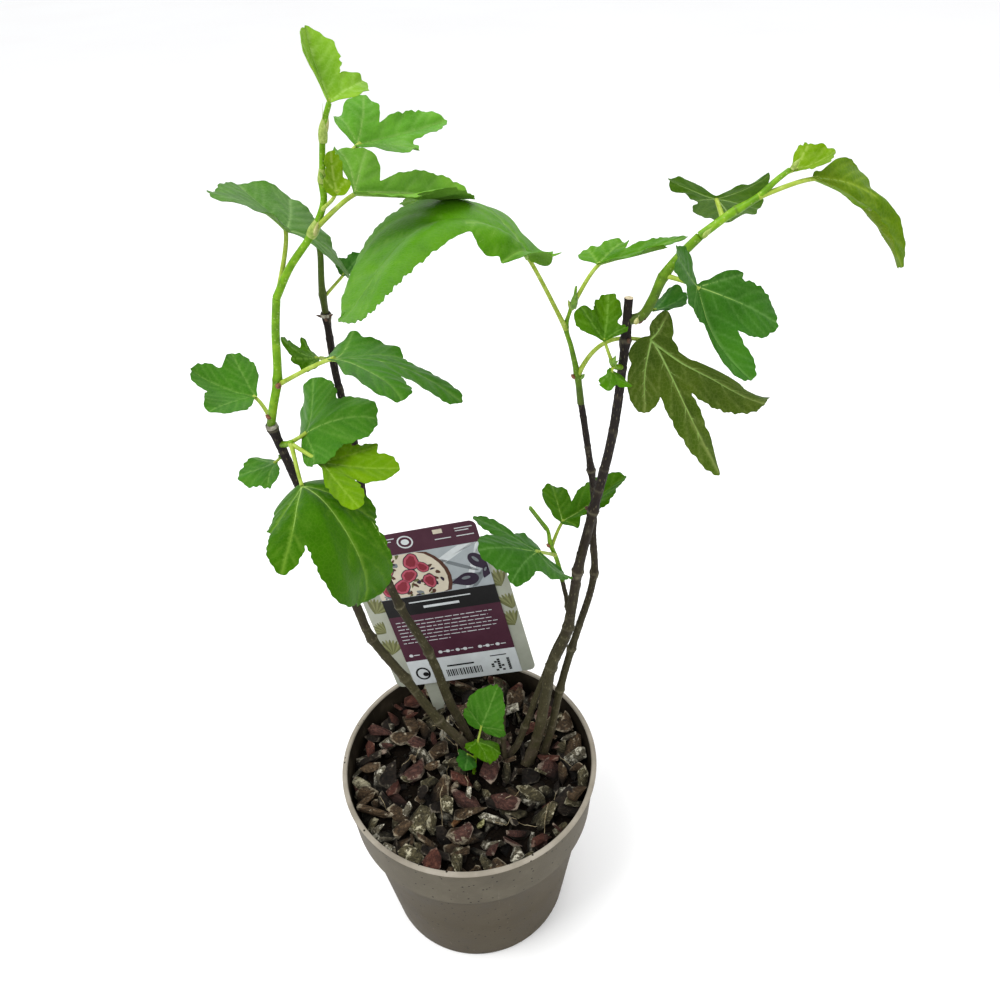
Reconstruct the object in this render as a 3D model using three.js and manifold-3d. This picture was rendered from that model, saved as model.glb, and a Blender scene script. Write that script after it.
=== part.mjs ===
// A young fig tree in a round plastic nursery pot: five woody stems that rise out of bark mulch, green
// shoots with lobed leaves on them, and a plain plant label of two cards whose tongue stands in the mulch.
// Units are millimetres. The origin is the centre of the pot's flat underside and +Z is up.
import * as THREE from "three";
import { mergeVertices } from "three/addons/utils/BufferGeometryUtils.js";
import Module from "manifold-3d";

const wasm = await Module();
wasm.setup();

// ---- Driving dimensions ----
const GAP = 0.3; // between neighbouring solids

const POT_HEIGHT = 160;
const RIM_RADIUS = 95;
const FOOT_RADIUS = 71.5;
const WALL = 2.5;
const FLOOR_THICKNESS = 3;
const LIP_WIDTH = 4;
const LIP_DEPTH = 4;
const BAND_DEPTH = 44; // the upright band under the lip
const BAND_TAPER = 2.8; // how much narrower the band is at its lower edge
const BAND_STEP = 4.3; // how far the band stands out of the wall below it
const POT_SIDES = 48;
const DRAIN_HOLES = 6;
const DRAIN_HOLE_RADIUS = 4;
const DRAIN_CIRCLE_RADIUS = 54;

const SOIL_TOP = 130;
const MULCH_BED_TOP = 137.5;
const MULCH_TOP = 149; // no chip stands higher
const CHIP_COUNT = 62;
const CHIP_LENGTH = [15, 24];
const CHIP_THICKNESS = [7, 10];

const LEAF_THICKNESS = 1.2;
const STALK_RADIUS = 1.25; // of a leaf's stalk where it leaves the shoot
const STALK_SIDES = 5;
const STALK_ROOT = 2.5; // how far the stalk runs on into the blade
const STEM_SIDES = 8;
const STEM_STEP = 24; // spacing of the rings along a stem
const SHOOT_SIDES = 6;
const SHOOT_STEP = 20;
const STEM_FOOT = SOIL_TOP + GAP; // every stem is cut level where it stands on the soil
const FLARE_LENGTH = 9; // over which a stem's foot narrows
const KNOT_HALF = 4; // half the length of a swollen knot
const KNOT_SWELL = 0.7;

const CARD_THICKNESS = 0.8;
const CARD_LEAN = 5.3; // degrees, back from upright
const CARD_SPIN = 12.7; // degrees, in the card's own plane
const CARD_TURN = -5.6; // degrees about the vertical
const CARD_FOOT = [-43, 62.5, 169]; // lower left corner of the front card

// ---- Solids ----
const DEGREE = Math.PI / 180;
const xyz = (p) => new THREE.Vector3(...p);

function solidOf(geometry) {
  geometry.deleteAttribute("normal");
  geometry.deleteAttribute("uv");
  const merged = mergeVertices(geometry, 1e-4);
  const vertProperties = merged.attributes.position.array;
  return new wasm.Manifold(
    new wasm.Mesh({ numProp: 3, vertProperties, triVerts: new Uint32Array(merged.index.array) }),
  );
}

function geometryOf(solid) {
  const mesh = solid.getMesh();
  const geometry = new THREE.BufferGeometry();
  geometry.setAttribute("position", new THREE.BufferAttribute(mesh.vertProperties, 3));
  geometry.setIndex(new THREE.BufferAttribute(mesh.triVerts, 1));
  const flat = geometry.toNonIndexed();
  flat.computeVertexNormals();
  return flat;
}

const fuse = (solids) => solids.reduce((all, one) => all.add(one));

// The biggest of a solid's separate bodies, without any scrap that a cut has left loose.
const mainBody = (solid) => solid.decompose().sort((a, b) => b.volume() - a.volume())[0];

// A repeatable stream of numbers from 0 to 1.
function randomStream(seed) {
  let state = seed;
  return () => {
    state = (state * 1664525 + 1013904223) % 4294967296;
    return state / 4294967296;
  };
}

// ---- Pot ----
const bandFoot = POT_HEIGHT - BAND_DEPTH;
const bandRadius = (z) => RIM_RADIUS - 1.2 - (BAND_TAPER * (POT_HEIGHT - z)) / BAND_DEPTH;
const wallTop = bandRadius(bandFoot) - BAND_STEP; // outer radius of the wall just under the band
const wallRadius = (z) => FOOT_RADIUS + ((wallTop - FOOT_RADIUS) * z) / bandFoot;

// Inner radius of the pot at a height, for whatever fills it.
function innerRadius(z) {
  const below = bandFoot - 2;
  const above = bandFoot + 2;
  if (z <= below) return wallRadius(z) - WALL;
  if (z >= above) return bandRadius(z) - WALL;
  return THREE.MathUtils.lerp(wallRadius(below), bandRadius(above), (z - below) / 4) - WALL;
}

function lathe(profile) {
  const points = profile.map(([radius, z]) => new THREE.Vector2(radius, z));
  return solidOf(new THREE.LatheGeometry(points, POT_SIDES).rotateX(Math.PI / 2));
}

function potSolid() {
  const lipFoot = POT_HEIGHT - LIP_DEPTH;
  const shell = lathe([
    [0, 0],
    [FOOT_RADIUS - 1.5, 0],
    [wallRadius(1.5), 1.5],
    [wallRadius(bandFoot), bandFoot],
    [bandRadius(bandFoot) - 0.6, bandFoot],
    [bandRadius(bandFoot + 1), bandFoot + 1],
    [bandRadius(lipFoot), lipFoot],
    [RIM_RADIUS, lipFoot + 1.2],
    [RIM_RADIUS, POT_HEIGHT - 1],
    [RIM_RADIUS - 1, POT_HEIGHT],
    [RIM_RADIUS - LIP_WIDTH + 0.6, POT_HEIGHT],
    [innerRadius(POT_HEIGHT - 1.5), POT_HEIGHT - 1.5],
    [innerRadius(bandFoot + 2), bandFoot + 2],
    [innerRadius(bandFoot - 2), bandFoot - 2],
    [innerRadius(FLOOR_THICKNESS), FLOOR_THICKNESS],
    [0, FLOOR_THICKNESS],
  ]);
  let pot = shell;
  const drill = new THREE.CylinderGeometry(DRAIN_HOLE_RADIUS, DRAIN_HOLE_RADIUS, 3 * FLOOR_THICKNESS, 10);
  const hole = solidOf(drill.rotateX(Math.PI / 2).translate(DRAIN_CIRCLE_RADIUS, 0, 0));
  for (let i = 0; i < DRAIN_HOLES; i++) {
    pot = pot.subtract(hole.rotate([0, 0, (360 * i) / DRAIN_HOLES]));
  }
  return pot;
}

// A round filling of the pot between two heights, clear of its wall.
function filling(low, high) {
  const heights = [low, bandFoot - 2, bandFoot + 2, high].filter((z) => z >= low && z <= high);
  const side = heights.map((z) => [innerRadius(z) - GAP, z]);
  return lathe([[0, low], ...side, [0, high]]);
}

// ---- Limbs ----
const UPWARD = new THREE.Vector3(0, 0, 1);
const route = (points) => new THREE.CatmullRomCurve3(points.map(xyz), false, "centripetal");

// The arc position (0 to 1) at which a rising curve passes a height.
function arcAtHeight(curve, height) {
  let low = 0;
  let high = 1;
  for (let i = 0; i < 30; i++) {
    const middle = (low + high) / 2;
    if (curve.getPointAt(middle).z < height) low = middle;
    else high = middle;
  }
  return low;
}

// A limb's radius at an arc position: its taper, the flare of its foot and the swelling of its knots,
// which are given as heights.
function radiusAt(curve, { thick, thin, flare = 0, knots = [] }, arc) {
  const length = curve.getLength();
  const swellings = knots.map((height) => {
    const away = (arc - arcAtHeight(curve, height)) * length;
    return KNOT_SWELL * Math.exp(-((away / KNOT_HALF) ** 2));
  });
  const taper = thick + (thin - thick) * arc;
  const foot = flare * Math.exp((-arc * length) / FLARE_LENGTH);
  return swellings.reduce((sum, one) => sum + one, taper + foot);
}

// Arc lengths at which a limb gets a ring: evenly, about each knot, at each stop and in its flared foot.
function ringStations(curve, { step = STEM_STEP, flare = 0, knots = [], stops = [] }) {
  const length = curve.getLength();
  const rows = Math.max(2, Math.round(length / step));
  const stations = Array.from({ length: rows }, (_, i) => (i * length) / rows);
  for (const height of knots) {
    const knot = arcAtHeight(curve, height) * length;
    stations.push(knot - KNOT_HALF, knot, knot + KNOT_HALF);
  }
  stops.forEach((height) => stations.push(arcAtHeight(curve, height) * length));
  if (flare) stations.push(6, 12);
  stations.sort((a, b) => a - b);
  const between = stations.filter((s, i) => s > 0 && length - s > 1.5 && s - stations[i - 1] > 1.5);
  return [0, ...between, length];
}

// A tapering limb with flat ends that follows a curve. Its foot is cut square to footAxis, or else to
// the limb.
function limb(curve, options) {
  const { sides = STEM_SIDES, footAxis } = options;
  const length = curve.getLength();
  const chord = curve.getPointAt(1).sub(curve.getPointAt(0));
  const runsBack = Math.abs(chord.y) > 0.8 * chord.length();
  const reference = runsBack ? UPWARD : new THREE.Vector3(0, 1, 0);
  const rings = ringStations(curve, options).map((s) => {
    const arc = Math.min(1, s / length);
    const along = s === 0 && footAxis ? footAxis.clone() : curve.getTangentAt(arc);
    const across = new THREE.Vector3().crossVectors(reference, along).normalize();
    const out = new THREE.Vector3().crossVectors(along, across);
    return { centre: curve.getPointAt(arc), across, out, radius: radiusAt(curve, options, arc) };
  });

  const geometry = new THREE.CylinderGeometry(1, 1, 1, sides, rings.length - 1);
  const position = geometry.attributes.position;
  for (let i = 0; i < position.count; i++) {
    const ring = rings[Math.round((position.getY(i) + 0.5) * (rings.length - 1))];
    const place = ring.centre.clone();
    place.addScaledVector(ring.across, position.getX(i) * ring.radius);
    place.addScaledVector(ring.out, -position.getZ(i) * ring.radius);
    position.setXYZ(i, place.x, place.y, place.z);
  }
  return solidOf(geometry);
}

// The five woody stems and a dead stub, each from its foot on the soil to where a green shoot starts.
const stems = {
  left_front_stem: {
    path: [[3, 17, STEM_FOOT], [-6, 17, 154], [-22, 18, 181], [-42, 15, 232], [-60, 12, 277], [-66, 10, 310],
      [-84, 5, 408], [-88, 3, 434], [-91, 0, 457]],
    thick: 3.5, thin: 2.5, flare: 1.4, knots: [181, 232, 277, 350, 454],
  },
  left_rear_stem: {
    path: [[1, 31, STEM_FOOT], [-6, 31, 157], [-13, 31, 182], [-25, 30, 242], [-41, 30, 289], [-53, 30, 353],
      [-54, 31, 421], [-58, 31, 468], [-58, 31, 506]],
    thick: 3.6, thin: 1.9, flare: 1.3, knots: [242, 289, 353, 505],
  },
  right_main_stem: {
    path: [[41, 7, STEM_FOOT], [51, 10, 162], [58, 9, 213], [62, 8, 246], [72, 7, 279], [78, 5, 336],
      [86, 3, 386], [94, 0, 437], [98, 0, 488], [99, 0, 521]],
    thick: 4.2, thin: 2.2, flare: 1.8, knots: [246, 286, 337, 386, 498],
  },
  right_rear_stem: {
    path: [[54, 14, STEM_FOOT], [62, 13, 169], [69, 16, 212], [77, 18, 253], [89, 21, 305], [91, 22, 322],
      [89, 22, 353], [89, 22, 379], [81, 22, 437], [79, 22, 449]],
    thick: 3, thin: 1.8, flare: 1, knots: [212, 253, 320, 402],
  },
  right_inner_stem: {
    path: [[20, 13, STEM_FOOT], [35, 13, 150], [43, 15, 173], [51, 17, 200], [64, 20, 247], [74, 21, 277],
      [74, 22, 290], [70, 22, 314]],
    thick: 2.7, thin: 1.4, flare: 0.8, knots: [173, 290],
  },
  dead_stub: {
    path: [[26, 7, STEM_FOOT], [26, 8, 145], [26, 12, 170], [27, 15, 193]],
    thick: 1.9, thin: 1.6, flare: 0.5, knots: [166],
  },
};

function stemSolid(stem) {
  return limb(route(stem.path), { ...stem, footAxis: UPWARD });
}

// The room that the mulch leaves round a limb: the limb itself, fatter by the gap, and a lowered copy.
function limbHole(standing) {
  const spare = GAP + 0.15;
  const fatter = { ...standing, thick: standing.thick + spare, thin: standing.thin + spare };
  const hole = limb(route(standing.path), { ...fatter, footAxis: UPWARD });
  return hole.add(hole.translate([0, 0, -2]));
}

// ---- Leaves ----
// A leaf is the union of a small round body and long oval lobes about the point where the stalk joins.
// Each lobe is [angle off the midrib, reach, half width, lift at its tip in degrees].
const LOBE_CENTRE = 0.6; // of the lobe's reach
const SINUS = 0.1; // how much of the body is left at the stalk
const LOBE_SPREAD = 0.42; // radians over which a lobe's lift fades

function lobeReach(off, reach, half) {
  const along = (1 - LOBE_CENTRE) * reach;
  const a = (Math.cos(off) / along) ** 2 + (Math.sin(off) / half) ** 2;
  const b = (-2 * LOBE_CENTRE * reach * Math.cos(off)) / along ** 2;
  const c = (LOBE_CENTRE * reach / along) ** 2 - 1;
  const root = b * b - 4 * a * c;
  return root > 0 && Math.cos(off) > 0 ? (-b + Math.sqrt(root)) / (2 * a) : 0;
}

// Half the angle that a lobe fills, seen from the stalk.
function lobeSpan(reach, half) {
  return Math.atan(half / (reach * Math.sqrt(LOBE_CENTRE ** 2 - (1 - LOBE_CENTRE) ** 2)));
}

const turnBetween = (a, b) => ((((a - b) % 360) + 540) % 360) - 180;

function edgeRadius({ lobes, body }, angle) {
  const fade = THREE.MathUtils.smoothstep(Math.abs(angle), 75, 175);
  const behind = THREE.MathUtils.clamp((Math.abs(angle) - 150) / 30, 0, 1) ** 2;
  let radius = body * (1 - (1 - SINUS) * fade);
  for (const [middle, reach, half] of lobes) {
    const lobe = lobeReach(turnBetween(angle, middle) * DEGREE, reach, half);
    radius = Math.max(radius, lobe * (1 - (1 - (SINUS * body) / reach) * behind));
  }
  return radius;
}

// Directions in which the outline gets a point: over each lobe, in each notch between two, and at the stalk.
function edgeAngles({ lobes }) {
  const angles = [-180, -165, 165];
  const sorted = [...lobes].sort((a, b) => a[0] - b[0]);
  sorted.forEach(([middle, reach, half], i) => {
    const span = lobeSpan(reach, half) / DEGREE;
    const shares = reach > 25 ? [-1.02, -0.88, -0.5, 0, 0.5, 0.88, 1.02] : [-1, -0.6, 0, 0.6, 1];
    shares.forEach((share) => angles.push(middle + share * span));
    const next = sorted[i + 1];
    if (next) angles.push((middle + span + next[0] - lobeSpan(next[1], next[2]) / DEGREE) / 2);
  });
  angles.sort((a, b) => a - b);
  const inside = angles.filter((a) => a >= -180 && a < 178);
  return inside.filter((a, i) => i === 0 || a - inside[i - 1] > 1.5);
}

// Places a flat leaf point (u along the midrib, v across) on the bent blade in space. The midrib sets off
// from base towards heading and pitch; roll tips the blade about it, arch bends it down along its length,
// twist wrings it, fold lifts both halves and curl bends them down again.
function bladePoint(leaf, u, v) {
  const { base, heading, pitch, roll = 0, arch = 0, fold = 10, curl = 15, twist = 0, lobes } = leaf;
  const length = lobes[0][1];
  const [h, p, q] = [heading, pitch, roll].map((a) => a * DEGREE);
  const midrib = new THREE.Vector3(Math.cos(p) * Math.cos(h), Math.cos(p) * Math.sin(h), Math.sin(p));
  const level = new THREE.Vector3(-Math.sin(h), Math.cos(h), 0);
  const above = new THREE.Vector3().crossVectors(midrib, level);
  const side = level.clone().multiplyScalar(Math.cos(q)).addScaledVector(above, Math.sin(q));
  const up = new THREE.Vector3().crossVectors(midrib, side);

  const archRate = ((arch || 0.001) * DEGREE) / length;
  const turned = archRate * u;
  const run = Math.sin(turned) / archRate;
  const drop = (1 - Math.cos(turned)) / archRate;
  const upHere = up.clone().multiplyScalar(Math.cos(turned)).addScaledVector(midrib, Math.sin(turned));
  const wring = (twist * DEGREE * u) / length;
  const sideHere = side.clone().multiplyScalar(Math.cos(wring)).addScaledVector(upHere, Math.sin(wring));
  const normal = upHere.multiplyScalar(Math.cos(wring)).addScaledVector(side, -Math.sin(wring));

  const curlRate = ((curl || 0.001) * DEGREE) / length;
  const rise = fold * DEGREE;
  const slope = rise - curlRate * Math.abs(v);
  const out = (Math.sin(rise) - Math.sin(slope)) / curlRate;
  let height = (Math.cos(slope) - Math.cos(rise)) / curlRate;
  const radius = Math.hypot(u, v);
  const angle = Math.atan2(v, u) / DEGREE;
  for (const [middle, reach, , lift] of lobes) {
    const off = turnBetween(angle, middle) * DEGREE;
    height += Math.exp(-((off / LOBE_SPREAD) ** 2)) * Math.tan(lift * DEGREE) * radius ** 2 / reach;
  }
  return xyz(base).addScaledVector(midrib, run).addScaledVector(up, -drop)
    .addScaledVector(sideHere, Math.sign(v) * out).addScaledVector(normal, height);
}

// The blade as one closed plate: a middle point, a half-way ring on large leaves and the edge, each above
// and below.
function bladeSolid(leaf) {
  const angles = edgeAngles(leaf);
  const count = angles.length;
  const upper = [];
  const lower = [];
  const addPair = (u, v) => {
    const middle = bladePoint(leaf, u, v);
    const alongU = bladePoint(leaf, u + 0.4, v).sub(bladePoint(leaf, u - 0.4, v));
    const alongV = bladePoint(leaf, u, v + 0.4).sub(bladePoint(leaf, u, v - 0.4));
    const offset = alongU.cross(alongV).setLength(LEAF_THICKNESS / 2);
    upper.push(middle.clone().add(offset));
    lower.push(middle.sub(offset));
  };
  const rings = leaf.small ? [1] : [0.55, 1];
  addPair(0, 0);
  rings.forEach((share) =>
    angles.forEach((angle) => {
      const radius = share * edgeRadius(leaf, angle);
      addPair(radius * Math.cos(angle * DEGREE), radius * Math.sin(angle * DEGREE));
    }),
  );
  const faces = [];
  const below = upper.length;
  const addFace = (a, b, c) => faces.push(a, b, c, below + c, below + b, below + a);
  const outside = 1 + count * (rings.length - 1); // the first point of the edge
  for (let i = 0; i < count; i++) {
    const next = (i + 1) % count;
    addFace(0, 1 + i, 1 + next);
    if (rings.length > 1) {
      addFace(1 + i, outside + i, outside + next);
      addFace(1 + i, outside + next, 1 + next);
    }
    faces.push(outside + i, below + outside + i, below + outside + next);
    faces.push(outside + i, below + outside + next, outside + next);
  }
  const geometry = new THREE.BufferGeometry().setFromPoints([...upper, ...lower]);
  geometry.setIndex(faces);
  return solidOf(geometry);
}

// The stalk, an arc from its node on the shoot to the blade, which it meets along the midrib.
function stalkSolid(leaf, node) {
  const end = xyz(leaf.base);
  const ahead = bladePoint(leaf, 1, 0).sub(bladePoint(leaf, 0, 0)).normalize();
  const span = end.distanceTo(node);
  const start = leaf.via ? xyz(leaf.via) : node.clone().lerp(end, 0.4);
  const arrival = node.clone().lerp(end, 0.8).addScaledVector(ahead, -0.08 * span);
  const curve = new THREE.CubicBezierCurve3(node, start, arrival, end.addScaledVector(ahead, STALK_ROOT));
  const size = leaf.small ? 0.75 : 1;
  const taper = { thick: STALK_RADIUS * size, thin: 0.8 * STALK_RADIUS * size };
  return limb(curve, { ...taper, sides: STALK_SIDES, step: Math.max(5, span / 3) });
}

// Where a shoot starts, the gap away from its limb, and which way its foot faces. It grows on from the
// limb's end, or, where it has a side, beside the limb at a height and towards that side.
function shootFoot({ from, height, side }) {
  const parent = stems[from] || shoots[from];
  const curve = route(pathOf(parent));
  const arc = side ? arcAtHeight(curve, height) : 1;
  const axis = side ? xyz(side).normalize() : curve.getTangentAt(1);
  const level = side ? radiusAt(curve, parent, arc) / Math.hypot(axis.x, axis.y) : 0;
  return { start: curve.getPointAt(arc).addScaledVector(axis, level + GAP + 0.05), axis };
}

// The points that a stem or shoot runs through; a shoot on a limb first gets its worked out start.
const pathOf = (one) => (one.from ? [shootFoot(one).start.toArray(), ...one.path] : one.path);

// A mass of foliage: one green shoot with its leaves, whose stalks start at heights on it.
function shootSolid(shoot) {
  const curve = route(pathOf(shoot));
  const footAxis = shoot.from ? shootFoot(shoot).axis : UPWARD;
  const stops = shoot.leaves.map((leaf) => leaf.node);
  const parts = [limb(curve, { ...shoot, stops, footAxis, sides: SHOOT_SIDES, step: SHOOT_STEP })];
  for (const leaf of shoot.leaves) {
    const node = curve.getPointAt(arcAtHeight(curve, leaf.node));
    parts.push(stalkSolid(leaf, node), bladeSolid(leaf));
  }
  return fuse(parts);
}

// ---- Foliage, each mass on its own shoot; a leaf's node is the height at which its stalk leaves ----
const shoots = {
  // Upright shoot that carries on from the left front stem.
  left_lower_shoot: {
    from: "left_front_stem",
    path: [[-87, -1, 469], [-82, -1, 484], [-77, -3, 513], [-73, -4, 530.7]],
    thick: 2.4, thin: 2, knots: [484],
    leaves: [
      {
        node: 460, base: [-99, 11, 468], heading: 180, pitch: 10,
        arch: -30, fold: 25, curl: 30, twist: -5, body: 3,
        lobes: [[0, 37, 12, 5], [-50, 31, 10, 5], [55, 33, 13, -5]],
      },
      {
        node: 481, base: [-48, -20, 505], heading: 5, pitch: 0, roll: -20,
        arch: 45, fold: -5, curl: 20, twist: 15, body: 6,
        lobes: [[0, 69, 11, -5], [25, 38, 14, 5], [-40, 51, 14, 0], [70, 27, 9, 25]],
      },
    ],
  },
  // The top of the same shoot, with the crown's highest leaves.
  left_upper_shoot: {
    from: "left_lower_shoot",
    path: [[-64, -4, 545], [-50, -5, 562], [-43, -5, 575], [-42, -5, 584], [-38, -5, 607], [-34, -4, 617]],
    thick: 2, thin: 1.2, knots: [562, 584],
    leaves: [
      {
        node: 533, base: [-64, 5, 560], heading: 130, pitch: 15, roll: 35,
        arch: 5, fold: 20, curl: 40, twist: -25, body: 29,
        lobes: [[0, 43, 21, 5], [40, 39, 13, 0], [-115, 38, 11, -5], [-35, 35, 15, 0]],
      },
      {
        node: 563, base: [-27, -11, 581], heading: 45, pitch: -20, roll: 30,
        arch: -5, fold: 40, curl: 20, body: 6,
        lobes: [[0, 69, 13, 0], [65, 21, 10, 5], [95, 25, 7, -20], [-30, 29, 6, 5]],
      },
      {
        node: 572, base: [-34, -18, 583], heading: 105, pitch: 30, roll: 35,
        arch: -5, fold: 35, curl: 10, twist: 5, body: 5, small: true,
        lobes: [[0, 20, 6, 10], [-50, 9, 3, 0], [40, 8, 5, 5]],
      },
      {
        node: 582, base: [-28, 21, 593], heading: 40, pitch: 0, roll: 25,
        arch: 5, fold: 30, curl: 25, body: 11,
        lobes: [[0, 51, 10, 5], [55, 29, 9, 0], [-40, 27, 11, 0], [90, 19, 6, -15]],
      },
      {
        node: 612, base: [-34, -4, 617], heading: 115, pitch: 40, roll: 20,
        arch: -30, fold: 35, curl: 20, twist: 10, body: 3, small: true,
        lobes: [[0, 33, 10, -5], [-65, 22, 7, -10], [20, 26, 4, -5]],
      },
    ],
  },
  // A short spur low on the left, with one leaf that hangs and two that stand out to the right.
  left_side_spray: {
    from: "left_front_stem", height: 443, side: [0.85, -0.52, 0],
    path: [[-84, -2, 445], [-80, -5, 448]],
    thick: 1.9, thin: 1.6,
    leaves: [
      {
        node: 446, base: [-74, 1, 449], heading: 10, pitch: 45, roll: 10,
        arch: 65, fold: -15, curl: -10, twist: 15, body: 27,
        lobes: [[-10, 45, 16, 0], [65, 38, 16, 10], [-95, 23, 8, 5]],
      },
      {
        node: 446.5, base: [-64, -16, 442], heading: 5, pitch: -20, roll: 5,
        arch: -10, fold: 10, curl: 35, twist: 10, body: 3,
        lobes: [[0, 41, 13, 5], [60, 22, 8, 10], [-55, 38, 8, 5]],
      },
      {
        node: 447, base: [-75, -23, 432], heading: -65, pitch: 20, roll: 10,
        arch: 60, fold: -20, curl: 10, twist: -15, body: 22,
        lobes: [[10, 87, 23, -30], [-25, 62, 10, -5], [-50, 33, 8, 5], [45, 40, 13, -15]],
      },
    ],
  },
  left_small_spray: {
    from: "left_front_stem", height: 428, side: [-0.5, 0.85, 0],
    path: [[-91, 7.5, 429.5], [-93.5, 9, 430.6]],
    thick: 1.2, thin: 1,
    leaves: [
      {
        node: 430, base: [-96, 11, 425], heading: 195, pitch: -20, roll: 15,
        arch: 15, fold: -5, curl: 30, twist: -15, body: 3, small: true,
        lobes: [[-10, 23, 12, 10], [-50, 21, 4, 20], [55, 18, 8, -5]],
      },
    ],
  },
  // The green end of the left rear stem, and its one dark leaf.
  left_rear_tip_spray: {
    from: "left_rear_stem",
    path: [[-57, 28, 522], [-55, 28, 539], [-55, 28, 546]],
    thick: 1.9, thin: 1.5, knots: [517],
    leaves: [
      {
        node: 515, base: [-45, 30, 527], heading: 50, pitch: 25,
        fold: 20, body: 4, small: true,
        lobes: [[0, 22, 6, 0], [45, 14, 4, 5], [-45, 14, 4, 5]],
      },
    ],
  },
  left_rear_bud_spray: {
    from: "left_rear_stem", height: 479, side: [-0.2, -1, 0.3],
    path: [[-60, 22, 483], [-62, 16, 487]],
    thick: 1.3, thin: 1.1,
    leaves: [
      {
        node: 485, base: [-62, 12, 489], heading: 185, pitch: 15, roll: 5,
        arch: -15, fold: -5, curl: 5, twist: -5, body: 3, small: true,
        lobes: [[0, 22, 4, 15], [-45, 14, 4, 25], [25, 15, 3.5, 0], [60, 11, 5, -20]],
      },
    ],
  },
  // The green shoot that leaves the cut top of the main right stem and bows out to the right.
  right_lower_shoot: {
    from: "right_main_stem", height: 509, side: [1, 0, 0],
    path: [[106, 0, 511], [110.5, 0, 519], [115, 0, 531], [122, 0, 541], [130.6, -1.8, 551.6]],
    thick: 2.6, thin: 2.2, knots: [531],
    leaves: [
      {
        node: 515, base: [113, 8, 510], heading: 5, pitch: 5, roll: -10,
        arch: -5, fold: 10, curl: 20, body: 5, small: true,
        lobes: [[0, 18, 8, 10], [35, 15, 5, 25]],
      },
      {
        node: 532, base: [130, -11, 530], heading: -50, pitch: -65,
        arch: -30, fold: 20, curl: -5, body: 7,
        lobes: [[0, 53, 11, 5], [50, 52, 14, -10], [85, 27, 4, -5], [-135, 32, 8, 0], [-60, 19, 11, 5]],
      },
    ],
  },
  right_upper_shoot: {
    from: "right_lower_shoot",
    path: [[143, -2, 561], [155, -3, 569], [162, -3, 576], [168, -3, 581]],
    thick: 2.2, thin: 1.2, knots: [563],
    leaves: [
      {
        node: 559, base: [140, 14, 564], heading: 70, pitch: -35,
        arch: -5, fold: 5, curl: 0, twist: -10, body: 15,
        lobes: [[-10, 35, 16, -5], [-55, 24, 10, -5], [45, 15, 10, 0], [-110, 24, 8, 20], [105, 24, 9, 5]],
      },
      {
        node: 579, base: [170, -2, 580], heading: -5, pitch: 15, roll: 15,
        arch: -15, fold: 20, curl: 0, twist: -5, body: 4, small: true,
        lobes: [[-5, 18, 8, 5], [45, 13, 5, 10]],
      },
      {
        node: 569, base: [179, -4, 577], heading: 0, pitch: -25, roll: 15,
        arch: 65, fold: 25, curl: 25, twist: 10, body: 4,
        lobes: [[5, 60, 11, 0], [20, 34, 13, 10], [-20, 27, 9, 10]],
      },
    ],
  },
  // A bud spray in front of the main right stem.
  right_spur_spray: {
    from: "right_main_stem", height: 483, side: [-0.6, -0.8, 0.2],
    path: [[92.5, -7, 487], [90, -10, 492]],
    thick: 1.6, thin: 1.3,
    leaves: [
      {
        node: 490, base: [86, -11, 504], heading: 85, pitch: 10,
        arch: -10, fold: 30, curl: 25, twist: 5, body: 4, small: true,
        lobes: [[-5, 29, 8, 10], [45, 19, 9, 15], [-60, 14, 5, -5]],
      },
      {
        node: 487, base: [90, -12, 488], heading: -70, pitch: -50, roll: -55,
        arch: 15, fold: 0, curl: 10, twist: 10, body: 4, small: true,
        lobes: [[-10, 11, 4, -10], [55, 14, 4, 25], [-45, 9, 4, -30]],
      },
    ],
  },
  // The green end of the right rear stem, up to its pointed bud.
  right_rear_shoot: {
    from: "right_rear_stem",
    path: [[77, 22, 465], [73, 22, 484], [70, 22, 496], [72, 22, 505], [74, 22, 511], [75, 22, 519]],
    thick: 2.1, thin: 0.7, knots: [467, 496, 509],
    leaves: [
      {
        node: 495, base: [50, 9, 540], heading: 175, pitch: 40, roll: 25,
        arch: 55, fold: 25, curl: 25, twist: 30, body: 30,
        lobes: [[0, 106, 25, -5], [-45, 85, 14, 5], [15, 46, 15, -15], [55, 29, 9, -35], [-150, 18, 2, 30]],
      },
      {
        node: 508, base: [86, 23, 530], heading: 0, pitch: 15, roll: -5,
        arch: 5, fold: 20, curl: 5, body: 3,
        lobes: [[5, 47, 7, 0], [50, 25, 7, -10], [100, 18, 7, -5], [-25, 37, 7, 0]],
      },
      {
        node: 466, base: [114, 13, 492], via: [88, 17, 500], heading: 30, pitch: -55, roll: -50,
        arch: -10, fold: -30, curl: 40, twist: -15, body: 16,
        lobes: [[5, 73, 6, -30], [-30, 89, 18, 10], [40, 38, 10, -5], [-125, 22, 7, 30]],
      },
    ],
  },
  // The end of the thin inner stem, with two leaves and a dry tip.
  right_inner_spray: {
    from: "right_inner_stem",
    path: [[66, 20, 334], [62, 20, 347], [60, 20, 359], [56, 20, 366], [49, 20, 378]],
    thick: 1.7, thin: 1, knots: [347],
    leaves: [
      {
        node: 345, base: [70, 27, 360], heading: 35, pitch: 0,
        arch: -25, fold: 25, curl: 10, twist: -20, body: 12,
        lobes: [[0, 54, 14, 0], [65, 29, 10, 0], [-65, 10, 7, -25]],
      },
      {
        node: 338, base: [53, 4, 355], heading: 205, pitch: 35, roll: -5,
        arch: 30, fold: -5, curl: 0, twist: -5, body: 19,
        lobes: [[5, 45, 13, 10], [-40, 45, 7, 5], [38, 36, 8, -10], [105, 28, 12, 10]],
      },
    ],
  },
  // A young sucker at the foot of the plant.
  basal_sucker: {
    path: [[2, -1, STEM_FOOT], [3, 1, 145], [5, 6, 162]],
    thick: 1.7, thin: 1.2,
    leaves: [
      {
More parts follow.
